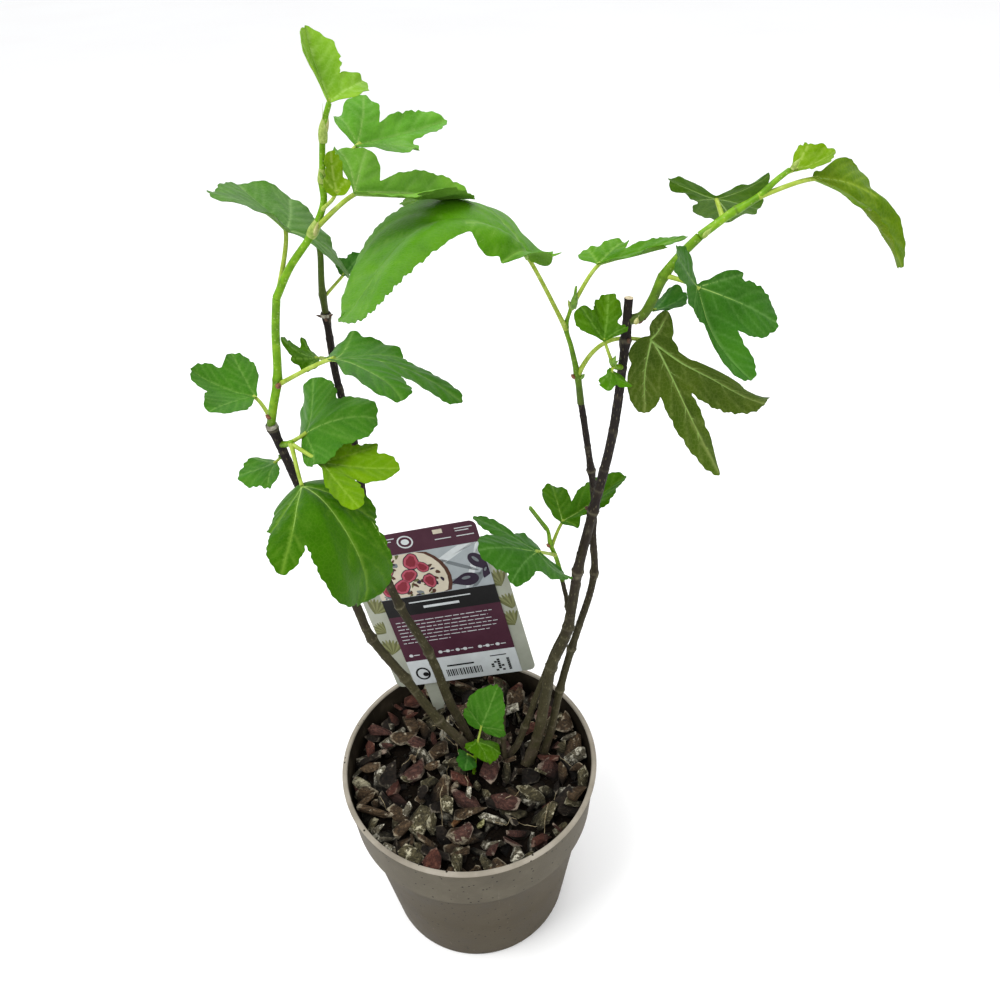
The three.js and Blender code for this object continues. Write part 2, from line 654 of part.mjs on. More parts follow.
        node: 160, base: [10, 10, 180], heading: 50, pitch: 80, roll: 10,
        fold: -5, curl: 0, body: 15, small: true,
        lobes: [[-5, 29, 16, -30], [50, 18, 10, 0], [-70, 21, 8, 5]],
      },
      {
        node: 158, base: [6, 6, 168], heading: -10, pitch: 0, roll: -20,
        arch: 25, fold: -15, curl: 15, body: 9, small: true,
        lobes: [[0, 20, 11, -10], [-40, 16, 8, -15], [-130, 10, 8, 0]],
      },
      {
        node: 152, base: [-2, 4, 157], heading: -80, pitch: 20, roll: -40,
        arch: 10, fold: -5, curl: 10, twist: 15, body: 8, small: true,
        lobes: [[-5, 16, 8, -15]],
      },
    ],
  },
};

// ---- Plant label: a front card, and a wider back card whose tongue is pushed into the mulch ----
// A card's outline runs through corners [along the card, up the card, corner radius]; behind is how far it
// stands behind the front card's face.
function cardGeometry(corners, behind) {
  const shape = new THREE.Shape();
  corners.forEach(([x, y, radius], i) => {
    const before = new THREE.Vector2(...corners[(i + corners.length - 1) % corners.length]);
    const after = new THREE.Vector2(...corners[(i + 1) % corners.length]);
    const corner = new THREE.Vector2(x, y);
    const start = corner.clone().add(before.sub(corner).setLength(radius));
    const end = corner.clone().add(after.sub(corner).setLength(radius));
    if (i === 0) shape.moveTo(start.x, start.y);
    else shape.lineTo(start.x, start.y);
    shape.quadraticCurveTo(x, y, end.x, end.y);
  });
  const solid = { depth: CARD_THICKNESS, bevelEnabled: false, curveSegments: 3 };
  const card = new THREE.ExtrudeGeometry(shape, solid);
  card.translate(0, 0, -CARD_THICKNESS - behind);
  card.rotateZ(CARD_SPIN * DEGREE);
  card.rotateX((90 - CARD_LEAN) * DEGREE);
  card.rotateZ(CARD_TURN * DEGREE);
  card.translate(...CARD_FOOT);
  return card;
}

const FRONT_CARD = { width: 88, height: 144, corner: 5 };
const BACK_CARD = { left: -15, right: 99, foot: -1, top: 126, corner: 5 };
const TONGUE = { left: 7, right: 17, foot: -37 };

function frontCard() {
  const { width, height, corner } = FRONT_CARD;
  return solidOf(cardGeometry([[0, 0, 1], [width, 0, 1], [width, height, corner], [0, height, corner]], 0));
}

// The back card, with the tongue that holds the label up.
function backCard() {
  const { left, right, foot, top, corner } = BACK_CARD;
  const corners = [
    [left, foot, corner], [TONGUE.left, foot, 2], [TONGUE.left, TONGUE.foot, 1],
    [TONGUE.right, TONGUE.foot, 1], [TONGUE.right, foot, 2],
    [right, foot, corner], [right, top, corner], [left, top, corner],
  ];
  return solidOf(cardGeometry(corners, CARD_THICKNESS + GAP));
}

// The room that the mulch leaves round the tongue.
function tongueSlot() {
  const spare = GAP + 0.1;
  const [left, right, foot] = [TONGUE.left - spare, TONGUE.right + spare, TONGUE.foot - 4];
  const slot = [[left, foot, 0.5], [right, foot, 0.5], [right, -5, 0.5], [left, -5, 0.5]];
  const thick = [CARD_THICKNESS, CARD_THICKNESS + GAP - spare, CARD_THICKNESS + GAP + spare];
  return fuse(thick.map((behind) => solidOf(cardGeometry(slot, behind))));
}

// ---- Bark mulch: a bed with chips bedded in it, cut clear of everything that stands in it ----
function chipSolid(random, x, y) {
  const spread = ([low, high]) => low + (high - low) * random();
  const length = spread(CHIP_LENGTH);
  const chip = new THREE.BoxGeometry(length, length * (0.6 + 0.3 * random()), spread(CHIP_THICKNESS));
  const position = chip.attributes.position;
  for (let i = 0; i < position.count; i++) {
    const top = position.getZ(i) > 0 ? 0.62 : 1;
    position.setX(i, position.getX(i) * top);
    position.setY(i, position.getY(i) * top);
  }
  chip.rotateX((random() - 0.5) * 0.9);
  chip.rotateY((random() - 0.5) * 0.9);
  chip.rotateZ(random() * Math.PI);
  return solidOf(chip.translate(x, y, MULCH_BED_TOP + 2 * random()));
}

function mulchSolid() {
  const random = randomStream(7);
  const goldenAngle = Math.PI * (3 - Math.sqrt(5));
  const reach = innerRadius(MULCH_TOP) - 6;
  let mulch = filling(SOIL_TOP + GAP, MULCH_BED_TOP);
  for (let i = 0; i < CHIP_COUNT; i++) {
    const radius = reach * Math.sqrt((i + 0.5) / CHIP_COUNT);
    const angle = i * goldenAngle;
    mulch = mulch.add(chipSolid(random, radius * Math.cos(angle), radius * Math.sin(angle)));
  }
  mulch = mulch.intersect(filling(SOIL_TOP + GAP, MULCH_TOP));
  for (const standing of [...Object.values(stems), shoots.basal_sucker]) {
    mulch = mulch.subtract(limbHole(standing));
  }
  return mainBody(mulch.subtract(tongueSlot()));
}

// ---- Materials ----
const material = (color, roughness) => new THREE.MeshStandardMaterial({ color, roughness, metalness: 0 });
const finishes = {
  pot: () => material("#7a7264", 0.55),
  soil: () => material("#241d18", 0.95),
  bark_mulch: () => material("#4a3a30", 0.85),
  bark: () => material("#4a4534", 0.8),
  foliage: () => material("#4f8f38", 0.5),
  front_card: () => material("#43202f", 0.4),
  back_card: () => material("#a9ab96", 0.4),
};

// ---- The plant, pot and label ----
const figTree = new THREE.Group();

function place(name, solid, finish) {
  const mesh = new THREE.Mesh(geometryOf(solid), finishes[finish]());
  mesh.name = name;
  figTree.add(mesh);
}

place("pot", potSolid(), "pot");
place("potting_soil", filling(FLOOR_THICKNESS + GAP, SOIL_TOP), "soil");
place("bark_mulch", mulchSolid(), "bark_mulch");
for (const [name, stem] of Object.entries(stems)) place(name, stemSolid(stem), "bark");
for (const [name, shoot] of Object.entries(shoots)) place(name, shootSolid(shoot), "foliage");
place("label_front_card", frontCard(), "front_card");
place("label_back_card", backCard(), "back_card");

export default figTree;
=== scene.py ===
import math
import random

import bpy
import numpy as np
from mathutils import Matrix, Vector, noise
from mathutils.bvhtree import BVHTree
from mathutils.geometry import delaunay_2d_cdt


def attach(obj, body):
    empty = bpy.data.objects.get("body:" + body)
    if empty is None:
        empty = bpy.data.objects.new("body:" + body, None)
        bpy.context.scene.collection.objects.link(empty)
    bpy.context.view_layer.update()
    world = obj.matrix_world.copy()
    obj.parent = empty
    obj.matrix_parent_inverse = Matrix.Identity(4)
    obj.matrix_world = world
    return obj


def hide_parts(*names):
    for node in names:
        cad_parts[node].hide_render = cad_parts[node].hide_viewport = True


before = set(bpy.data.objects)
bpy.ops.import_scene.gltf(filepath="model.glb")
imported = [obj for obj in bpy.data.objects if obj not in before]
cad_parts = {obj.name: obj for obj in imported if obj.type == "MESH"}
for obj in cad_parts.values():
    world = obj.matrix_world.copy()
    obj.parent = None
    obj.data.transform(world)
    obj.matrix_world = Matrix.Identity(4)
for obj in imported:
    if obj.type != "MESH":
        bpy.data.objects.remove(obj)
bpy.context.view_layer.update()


# ---- Nursery pot ------------------------------------------------------------------------------------------
# A 19 cm nursery pot, vacuum formed in one piece from recycled grey-taupe polypropylene: thin tapered wall,
# a stepped band under a rolled lip, and drain holes punched in its foot. Sizes are in mm from here on.
pot_height, rim_radius, foot_radius, pot_wall = 160, 95, 71.5, 2.5
band_foot, band_taper, band_step, lip_overhang, lip_foot = 116, 2.8, 4.3, 1.2, 157.2
drain_holes, drain_radius, drain_circle = 6, 4, 54


def linear(colour):
    """An sRGB hex colour as the linear values that a shader takes. Any other value is returned as it is."""
    if not isinstance(colour, str):
        return colour
    parts = [int(colour[i:i + 2], 16) / 255 for i in (1, 3, 5)]
    return (*(c / 12.92 if c <= .04045 else ((c + .055) / 1.055) ** 2.4 for c in parts), 1)


def add_node(tree, kind, sockets, stops=(), out=0, **settings):
    """Adds one shader node and returns one of its outputs. A socket is given a constant, a hex colour, or the
    output that it is linked to. A ramp's stops are pairs of place and colour."""
    made = tree.nodes.new("ShaderNode" + kind)
    for setting, value in settings.items():
        setattr(made, setting, value)
    for socket, value in sockets.items():
        if isinstance(value, bpy.types.NodeSocket):
            tree.links.new(value, made.inputs[socket])
        else:
            made.inputs[socket].default_value = linear(value)
    for i, (place, colour) in enumerate(stops):
        ramp = made.color_ramp.elements
        stop = ramp[i] if i < 2 else ramp.new(place)
        stop.position, stop.color = place, linear(colour)
    return made.outputs[out]


def finish(name, **constants):
    """A new material whose Principled shader has these constants, with its tree and the shader's inputs."""
    made = bpy.data.materials.new(name)
    made.use_nodes = True
    shader = made.node_tree.nodes["Principled BSDF"].inputs
    for socket, value in constants.items():
        shader[socket.replace("_", " ")].default_value = linear(value)
    return made, made.node_tree, shader


def wired(made, shader, **outputs):
    """Links the ends of a material's nodes to its shader's sockets, and returns the finished material."""
    for socket, output in outputs.items():
        made.node_tree.links.new(output, shader[socket.replace("_", " ")])
    return made


def select_only(piece=None):
    """Deselects everything, then selects this piece, if there is one, and makes it active."""
    bpy.ops.object.select_all(action="DESELECT")
    if piece:
        piece.select_set(True)
        bpy.context.view_layer.objects.active = piece


def wall_radius(height):
    """The pot's outer radius at that height: the band above its foot, the tapered body below."""
    band_top = rim_radius - lip_overhang
    if height >= band_foot:
        return band_top - band_taper * (pot_height - height) / (pot_height - band_foot)
    return foot_radius + (band_top - band_taper - band_step - foot_radius) * height / band_foot


pot_profile = [
    (0, 0), (foot_radius - 1.5, 0), (wall_radius(1.5), 1.5), (wall_radius(60), 60),
    (wall_radius(band_foot - .1), band_foot - .1), (wall_radius(band_foot) - .6, band_foot),
    (wall_radius(117), 117), (wall_radius(156), 156), (rim_radius, lip_foot), (rim_radius, 159),
    (rim_radius - 1, pot_height), (rim_radius - 3.4, pot_height), (wall_radius(158) - pot_wall, 158.5),
    (wall_radius(118) - pot_wall, 118), (wall_radius(114) - pot_wall, 114), (wall_radius(3) - pot_wall, 3),
    (0, 3)]
select_only()
bpy.ops.mesh.primitive_plane_add(size=.001)
pot = bpy.context.object
pot.name = "nursery_pot"
bpy.ops.object.mode_set(mode="EDIT")
bpy.ops.mesh.merge(type="CENTER")
for (r, z), (next_r, next_z) in zip(pot_profile, pot_profile[1:]):
    step = ((next_r - r) / 1000, 0, (next_z - z) / 1000)
    bpy.ops.mesh.extrude_vertices_move(TRANSFORM_OT_translate={"value": step})
bpy.ops.mesh.select_all(action="SELECT")
bpy.ops.mesh.spin(steps=192, angle=math.tau, center=(0, 0, 0), axis=(0, 0, 1))
bpy.ops.mesh.select_all(action="SELECT")
bpy.ops.mesh.remove_doubles(threshold=1e-6)
bpy.ops.mesh.normals_make_consistent(inside=False)
bpy.ops.object.mode_set(mode="OBJECT")
rounding = pot.modifiers.new("rolled edges", "BEVEL")
rounding.width, rounding.segments, rounding.angle_limit = .0005, 2, math.radians(18)
bpy.ops.object.modifier_apply(modifier="rolled edges")
select_only()
for hole in range(drain_holes):
    turn = math.tau * hole / drain_holes
    bpy.ops.mesh.primitive_cylinder_add(
        vertices=24, radius=drain_radius / 1000, depth=.02,
        location=(drain_circle / 1000 * math.cos(turn), drain_circle / 1000 * math.sin(turn), 0))
    punch = bpy.context.object
    select_only(pot)
    cut = pot.modifiers.new("drain hole", "BOOLEAN")
    cut.object, cut.operation, cut.solver = punch, "DIFFERENCE", "EXACT"
    bpy.ops.object.modifier_apply(modifier="drain hole")
    bpy.data.objects.remove(punch)
bpy.ops.object.shade_smooth_by_angle(angle=math.radians(35))


def recycled_polypropylene(name, tone, dark, light, under_band):
    """Recycled polypropylene, vacuum formed: satin, faintly mottled, with dark specks, scuffs and painted
    shade under the band.
    """
    made, tree, shader = finish(name, IOR=1.49, Specular_IOR_Level=.05)
    where = add_node(tree, "TexCoord", {}, out="Object")
    # Clouds of about 25 mm from the sheet's uneven melt.
    clouds = add_node(tree, "TexNoise", {"Vector": where, "Scale": 40, "Detail": 5, "Roughness": .6})
    colour = add_node(tree, "ValToRGB", {"Fac": clouds}, stops=[(.3, dark), (.72, light), (.5, tone)])
    # Specks of other plastic, really under half a millimetre and drawn at 1.5 mm at most so that they show.
    specks = add_node(tree, "TexVoronoi", {"Vector": where, "Scale": 210, "Randomness": 1})
    is_speck = add_node(tree, "Math", {0: specks, 1: .16}, operation="LESS_THAN")
    some = add_node(tree, "Math", {0: specks.node.outputs["Color"], 1: .5}, operation="GREATER_THAN")
    speck = add_node(tree, "Math", {0: is_speck, 1: some}, operation="MULTIPLY")
    # Scuffs from stacking: thin upright streaks about 2 mm wide and 30 mm long.
    upright = add_node(tree, "Mapping", {"Vector": where, "Scale": (1, 1, .07)})
    streaks = add_node(tree, "TexNoise", {"Vector": upright, "Scale": 420, "Detail": 3, "Roughness": .7})
    scuff = add_node(tree, "MapRange", {"Value": streaks, "From Min": .66, "From Max": .78, "To Max": .3})
    # Painted shadow under the band's step: the body darkens over its last 10 mm or so below the band.
    level = add_node(tree, "SeparateXYZ", {"Vector": where}, out="Z")
    wander = add_node(tree, "Math", {0: clouds, 1: .012}, operation="MULTIPLY")
    level = add_node(tree, "Math", {0: level, 1: wander}, operation="ADD")
    band_shadow = add_node(tree, "MapRange", {"Value": level, "From Min": .108, "From Max": .122,
                                        "To Max": under_band})
    # Specks and scuffs are the plastic's own colour; the dark under the band is painted shade.
    for mask, over in ((speck, "#1d1914"), (scuff, "#8d8678"), (band_shadow, "#241f17")):
        colour = add_node(tree, "MixRGB", {"Fac": mask, "Color1": colour, "Color2": over})
    gloss = add_node(tree, "MapRange", {"Value": clouds, "To Min": .42, "To Max": .62})
    # The sheet's orange-peel grain, about 1.2 mm.
    grain = add_node(tree, "TexNoise", {"Vector": where, "Scale": 800, "Detail": 3})
    bump = add_node(tree, "Bump", {"Height": grain, "Strength": .22, "Distance": .0004})
    return wired(made, shader, Base_Color=colour, Roughness=gloss, Normal=bump)


# One plastic in four colours: the up-facing lip is painted lighter as painted light, the inside wall near
# black as painted shade, and the band a little lighter than the body.
for part, tone, dark, light, under_band in (
        ("body", "#443c2d", "#3e372a", "#4b4436", .62), ("band", "#534d40", "#4a4437", "#5f594b", 0),
        ("lip", "#8d8679", "#7c7569", "#9e978b", 0), ("shaded_inside", "#231e17", "#16120e", "#3a3329", 0)):
    pot.data.materials.append(recycled_polypropylene("polypropylene_" + part, tone, dark, light, under_band))
for face in pot.data.polygons:
    height, reach = face.center.z * 1000, math.hypot(face.center.x, face.center.y) * 1000
    outside = reach > wall_radius(height) - 1
    face.material_index = (2 if height > lip_foot + 1 else 3 if height > 2 and not outside else
                           1 if height > band_foot - 1 else 0)
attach(pot, "root")
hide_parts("pot")


# ---- Potting soil -----------------------------------------------------------------------------------------
# The peat and coir compost that fills the pot round the roots, loose and damp, poured in and pressed down.
# Its surface lies under the bark and shows through the gaps between chips, near black: partly its own colour,
# partly painted shade in those gaps.
def damp_compost(name, dark, light):
    """Peat compost, loose: matt, near black, with paler fibres and crumbs of about 2 mm."""
    made, tree, shader = finish(name, Roughness=.92, IOR=1.4, Specular_IOR_Level=.06)
    where = add_node(tree, "TexCoord", {}, out="Object")
    crumbs = add_node(tree, "TexNoise", {"Vector": where, "Scale": 450, "Detail": 8, "Roughness": .7})
    colour = add_node(tree, "ValToRGB", {"Fac": crumbs}, stops=[(.35, dark), (.8, light)])
    bump = add_node(tree, "Bump", {"Height": crumbs, "Strength": .9, "Distance": .0015})
    return wired(made, shader, Base_Color=colour, Normal=bump)


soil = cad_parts["potting_soil"]
soil.data.materials.clear()
soil.data.materials.append(damp_compost("peat_compost", "#0d0a07", "#2b221a"))


# ---- Woody stems ------------------------------------------------------------------------------------------
# Five canes two or three years old and a dead stub, rooted in the compost: grey-brown fig bark, smooth but
# for fine ridges, pale breathing pores, and a ring round the stem at every node where a leaf once stood.
stem_foot, flare_length, knot_half, knot_swell, bark_ages_over = 130.3, 9, 4, .7, 330

# A path runs from the foot up, from place to place. Knots are heights. A cut stem ends in bare wood.
stems = {
    "left_front_stem": dict(
        path=[(3, 17, stem_foot), (-6, 17, 154), (-22, 18, 181), (-42, 15, 232), (-60, 12, 277),
              (-66, 10, 310), (-84, 5, 408), (-88, 3, 434), (-91, 0, 457)],
        thick=3.5, thin=2.5, flare=1.4, knots=[181, 232, 277, 350, 454],
    ),
    "left_rear_stem": dict(
        path=[(1, 31, stem_foot), (-6, 31, 157), (-13, 31, 182), (-25, 30, 242), (-41, 30, 289),
              (-53, 30, 353), (-54, 31, 421), (-58, 31, 468), (-58, 31, 506)],
        thick=3.6, thin=1.9, flare=1.3, knots=[242, 289, 353, 505],
    ),
    "right_main_stem": dict(
        path=[(41, 7, stem_foot), (51, 10, 162), (58, 9, 213), (62, 8, 246), (72, 7, 279),
              (78, 5, 336), (86, 3, 386), (94, 0, 437), (98, 0, 488), (99, 0, 521)],
        thick=4.2, thin=2.2, flare=1.8, knots=[246, 286, 337, 386, 498], cut=True,
    ),
    "right_rear_stem": dict(
        path=[(54, 14, stem_foot), (62, 13, 169), (69, 16, 212), (77, 18, 253), (89, 21, 305),
              (91, 22, 322), (89, 22, 353), (89, 22, 379), (81, 22, 437), (79, 22, 449)],
        thick=3, thin=1.8, flare=1, knots=[212, 253, 320, 402],
    ),
    "right_inner_stem": dict(
        path=[(20, 13, stem_foot), (35, 13, 150), (43, 15, 173), (51, 17, 200), (64, 20, 247),
              (74, 21, 277), (74, 22, 290), (70, 22, 314)],
        thick=2.7, thin=1.4, flare=0.8, knots=[173, 290],
    ),
    "dead_stub": dict(
        path=[(26, 7, stem_foot), (26, 8, 145), (26, 12, 170), (27, 15, 193)],
        thick=1.9, thin=1.6, flare=0.5, knots=[166], cut=True,
    ),
}


def smooth_route(points):
    """Places every half millimetre or so along a centripetal Catmull-Rom curve, and how far along each is."""
    points = np.array(points, float)
    ends = np.vstack([2 * points[0] - points[1], points, 2 * points[-1] - points[-2]])
    places = []
    for p0, p1, p2, p3 in zip(ends, ends[1:], ends[2:], ends[3:]):
        d0, d1, d2 = (max(np.linalg.norm(b - a), 1e-8) ** .5 for a, b in ((p0, p1), (p1, p2), (p2, p3)))
        m1 = ((p1 - p0) / d0 - (p2 - p0) / (d0 + d1) + (p2 - p1) / d1) * d1
        m2 = ((p2 - p1) / d1 - (p3 - p1) / (d1 + d2) + (p3 - p2) / d2) * d1
        t = np.linspace(0, 1, max(8, int(np.linalg.norm(p2 - p1) / .5)), endpoint=False)[:, None]
        places.append(p1 + m1 * t + (3 * (p2 - p1) - 2 * m1 - m2) * t ** 2
                      + (2 * (p1 - p2) + m1 + m2) * t ** 3)
    places = np.vstack(places + [points[-1:]])
    along = np.concatenate([[0], np.cumsum(np.linalg.norm(np.diff(places, axis=0), axis=1))])
    return places, along


def point_on(route, distance):
    """The places on a limb's centre line at those distances from its foot."""
    places, along = route
    return np.stack([np.interp(distance, along, places[:, axis]) for axis in range(3)], -1)


def distance_at(route, height):
    """How far along a limb it reaches that height."""
    places, along = route
    return np.interp(height, np.maximum.accumulate(places[:, 2] + 1e-6 * along), along)


def limb_radius(limb, route, distance):
    """How thick a limb is: its taper, the flare at its foot and the swelling at each of its knots."""
    length = route[1][-1]
    radius = limb["thick"] + (limb["thin"] - limb["thick"]) * distance / length
    radius = radius + limb.get("flare", 0) * np.exp(-distance / flare_length)
    for knot in limb["knots"]:
        radius = radius + knot_swell * np.exp(-((distance - distance_at(route, knot)) / knot_half) ** 2)
    return radius


def normalised(vectors):
    return vectors / np.maximum(np.linalg.norm(vectors, axis=-1, keepdims=True), 1e-9)


def swept(centres, radius, sides, skin=0):
    """A closed limb of rings round its centres, as a shape for joined. radius is one number, or has a row for
    each ring and one or more columns."""
    ahead = normalised(np.gradient(centres, axis=0))
    level = np.cross(ahead[0], (.3, .2, 1) if abs(ahead[0][2]) < .9 else (0, 1, .1))
    around = np.empty_like(centres)
    for i, direction in enumerate(ahead):
        level = level - direction * level.dot(direction)
        around[i] = level = level / np.linalg.norm(level)
    across = np.cross(ahead, around)
    turn = np.linspace(0, math.tau, sides, endpoint=False)
    spokes = around[:, None] * np.cos(turn)[:, None] + across[:, None] * np.sin(turn)[:, None]
    rings = centres[:, None] + spokes * np.broadcast_to(radius, (len(centres), sides))[..., None]
    corners = np.vstack([rings.reshape(-1, 3), centres[:1], centres[-1:]])
    ring, side = np.meshgrid(np.arange(len(centres) - 1), np.arange(sides), indexing="ij")
    a, b = ring * sides + side, ring * sides + (side + 1) % sides
    walls = np.stack([a, b, b + sides, a + sides], -1).reshape(-1, 4)
    side = np.arange(sides)
    foot, tip = len(corners) - 2, len(corners) - 1
    last = (len(centres) - 1) * sides
    ends = np.vstack([np.stack([np.full(sides, foot), (side + 1) % sides, side], -1),
                      np.stack([np.full(sides, tip), last + side, last + (side + 1) % sides], -1)])
    return dict(corners=corners, faces=[walls, ends], skins=[skin, skin])


def put(name, data):
    """A new object with this mesh, lamp or camera, put in the scene."""
    made = bpy.data.objects.new(name, data)
    bpy.context.scene.collection.objects.link(made)
    return made


def joined(name, shapes, skins, stands_for=()):
    """One piece from many ready shapes. A shape has its corners in mm, its lists of faces with the skin of
    each list, and values for each corner that the skins read."""
    mesh = bpy.data.meshes.new(name)
    counts = np.cumsum([0] + [len(shape["corners"]) for shape in shapes])
    lists = [(faces + start, skin) for shape, start in zip(shapes, counts)
             for faces, skin in zip(shape["faces"], shape["skins"])]
    sizes = np.concatenate([np.full(len(faces), faces.shape[1]) for faces, _ in lists])
    corners = np.concatenate([shape["corners"] for shape in shapes]) / 1000
    mesh.vertices.add(len(corners))
    mesh.vertices.foreach_set("co", corners.astype(np.float32).ravel())
    mesh.loops.add(int(sizes.sum()))
    mesh.loops.foreach_set("vertex_index", np.concatenate([f.ravel() for f, _ in lists]).astype(np.int32))
    mesh.polygons.add(len(sizes))
    mesh.polygons.foreach_set("loop_start", np.concatenate([[0], np.cumsum(sizes)[:-1]]).astype(np.int32))
    mesh.polygons.foreach_set("material_index", np.concatenate([np.full(len(f), skin) for f, skin in lists])
                              .astype(np.int32))
    mesh.update(calc_edges=True)
    for value in shapes[0].get("values", {}):
        data = np.concatenate([shape["values"][value] for shape in shapes]).astype(np.float32)
        kind = "FLOAT" if data.ndim == 1 else "FLOAT_VECTOR"
        mesh.attributes.new(value, kind, "POINT").data.foreach_set(
            "value" if kind == "FLOAT" else "vector", data.ravel())
    for skin in skins:
        mesh.materials.append(skin)
    piece = put(name, mesh)
    select_only(piece)
    bpy.ops.object.shade_smooth_by_angle(angle=math.radians(50))
    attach(piece, "root")
    if stands_for:
        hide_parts(*stands_for)
    return piece


def fig_bark(name):
    """Fig bark: a matt grey-brown skin, peeling and paler at the foot, olive in the middle and nearly black
    on the youngest wood, with pale pores and pale leaf scars. It breaks up what light falls on it."""
    made, tree, shader = finish(name, Roughness=.72, IOR=1.45, Specular_IOR_Level=.22)
    grain = add_node(tree, "Attribute", {}, out="Vector", attribute_name="grain")
    age = add_node(tree, "Attribute", {}, out="Fac", attribute_name="height_share")
    scar = add_node(tree, "Attribute", {}, out="Fac", attribute_name="scar")
    # Blotches of 10 mm along the stem, 4 mm across: algae, old skin and dust.
    blotch = add_node(tree, "TexNoise", {"Vector": grain, "Scale": 260, "Detail": 6, "Roughness": .62})
    shift = add_node(tree, "Math", {0: blotch, 1: .5}, operation="SUBTRACT")
    shift = add_node(tree, "Math", {0: shift, 1: .8}, operation="MULTIPLY")
    shifted = add_node(tree, "Math", {0: age, 1: shift}, operation="ADD")
    colour = add_node(tree, "ValToRGB", {"Fac": shifted}, stops=[
        (.0, "#4a4132"), (1, "#191312"), (.16, "#403c25"), (.42, "#34311c"), (.66, "#292117"),
        (.84, "#1e1714")])
    # Fine lengthwise cracks, really 0.3 mm and drawn at about 0.7 mm.
    cracks = add_node(tree, "TexNoise", {"Vector": grain, "Scale": 1500, "Detail": 4, "Roughness": .7})
    dark = add_node(tree, "MapRange", {"Value": cracks, "From Min": .34, "From Max": .5,
                                       "To Min": .6, "To Max": 0})
    # Pores: pale dots of up to 1 mm, 2 mm apart.
    pores = add_node(tree, "TexVoronoi", {"Vector": grain, "Scale": 520, "Randomness": 1})
    pore = add_node(tree, "MapRange", {"Value": pores, "From Min": .1, "From Max": .26,
                                       "To Min": .38, "To Max": 0})
    for mask, over in ((dark, "#241c14"), (pore, "#7b7457"), (scar, "#7c765f")):
        colour = add_node(tree, "MixRGB", {"Fac": mask, "Color1": colour, "Color2": over})
    bump = add_node(tree, "Bump", {"Height": cracks, "Strength": .6, "Distance": .0006})
    return wired(made, shader, Base_Color=colour, Normal=bump)


def two_tone(name, scale, dark, light, low=.3, detail=3, **constants):
    """A dry, matt material that runs between two colours in a plain grain of 1 / scale metres."""
    made, tree, shader = finish(name, **constants)
    where = add_node(tree, "TexCoord", {}, out="Object")
    grain = add_node(tree, "TexNoise", {"Vector": where, "Scale": scale, "Detail": detail})
    colour = add_node(tree, "ValToRGB", {"Fac": grain}, stops=[(low, dark), (.7, light)])
    return wired(made, shader, Base_Color=colour)


# Dry cut fig wood: pale cream and matt, with a grain of about 1 mm.
bark, cut_wood = fig_bark("fig_bark"), two_tone("cut_fig_wood", 900, "#a89678", "#d9ccb0", Roughness=.8)


def barked_limb(limb, route, seed, sides=40, pitch=1.1):
    """A woody limb with its bark's relief: lengthwise ridges, a raised ring and leaf scar at each node."""
    rng = np.random.default_rng(seed)
    length = route[1][-1]
    distance = np.linspace(0, length, int(length / pitch))
    turn = np.linspace(0, math.tau, sides, endpoint=False)
    radius = np.repeat(limb_radius(limb, route, distance)[:, None], sides, 1)
    ridge = np.zeros_like(radius)
    for lobes, depth in ((3, .14), (5, .12), (8, .09), (13, .06)):
        drift = rng.uniform(0, math.tau) + distance / rng.uniform(14, 40) + np.sin(distance / 11 + lobes)
        swell = 1 + .6 * np.sin(distance / rng.uniform(7, 19) + rng.uniform(0, 6))
        ridge += depth * swell[:, None] * np.sin(lobes * turn[None] + drift[:, None])
    # Ridges are deepest at the foot and fade over 70 mm.
    ridge *= .55 + .75 * np.exp(-distance / 70)[:, None]
    patch_round, patch_along = 2.2 * 1.6, 2.6
    rough = np.array([[noise.noise((patch_round * math.cos(t), patch_round * math.sin(t),
                                    d / patch_along + seed * 7)) for t in turn[::2]] for d in distance])
    rough = np.repeat(rough, 2, 1)
    rough = (rough + np.roll(rough, 1, 1)) / 2
    radius = radius + ridge + .22 * rough
    scar = np.zeros_like(radius)
    spots = [distance_at(route, knot) for knot in limb["knots"]]
    place = rng.uniform(9, 16)
    while place < length - 4:
        if min([abs(place - spot) for spot in spots] + [99]) > 9:
            spots.append(place)
        place += rng.uniform(15, 32)
    for number, spot in enumerate(spots):
        big = number < len(limb["knots"])
        ring, oval_scar, palest, least = (.34, .6, .5, .15) if big else (.16, .25, .22, 0)
        tilt = rng.uniform(-.7, .7) * np.sin(turn + rng.uniform(0, 6))
        near = distance[:, None] - spot - tilt
        radius = radius + ring * np.exp(-(near / .8) ** 2) - .16 * np.exp(-((near - 1.6) / .7) ** 2)
        scar = np.maximum(scar, rng.uniform(least, palest) * np.exp(-(near / .75) ** 2))
        # The leaf scar is a raised oval under the ring, on alternate sides of the stem.
        side = number * 2.4 + seed
        off = np.angle(np.exp(1j * (turn - side)))[None] * radius.mean()
        oval = (near + 2.6) ** 2 / 5 + off ** 2 / 3.4
        radius = radius + .38 * np.exp(-oval)
        scar = np.maximum(scar, oval_scar * np.exp(-oval * 1.6))
    centres = point_on(route, distance)
    # The bark's pattern is wrapped on a 3.5 mm cylinder and drawn out lengthwise.
    pattern_radius, pattern_length = 3.5, .38
    grain = np.stack(np.broadcast_arrays(
        np.cos(turn)[None] * pattern_radius, np.sin(turn)[None] * pattern_radius,
        distance[:, None] * pattern_length + seed * 53), -1).reshape(-1, 3) / 1000
    grain = np.vstack([grain, grain[:1], grain[-1:]])
    share = np.repeat((centres[:, 2] - stem_foot) / bark_ages_over, sides)
    values = {"grain": grain, "scar": np.append(scar.ravel(), [.2, 0]),
              "height_share": np.append(np.clip(share, 0, 1), [0, 1])}
    return dict(swept(centres, radius, sides), skins=[0, 1 if limb.get("cut") else 0], values=values)


stem_routes = {stem: smooth_route(limb["path"]) for stem, limb in stems.items()}
for number, (stem, limb) in enumerate(stems.items()):
    joined(stem + "_bark", [barked_limb(limb, stem_routes[stem], number + 1)], [bark, cut_wood],
           [stem])


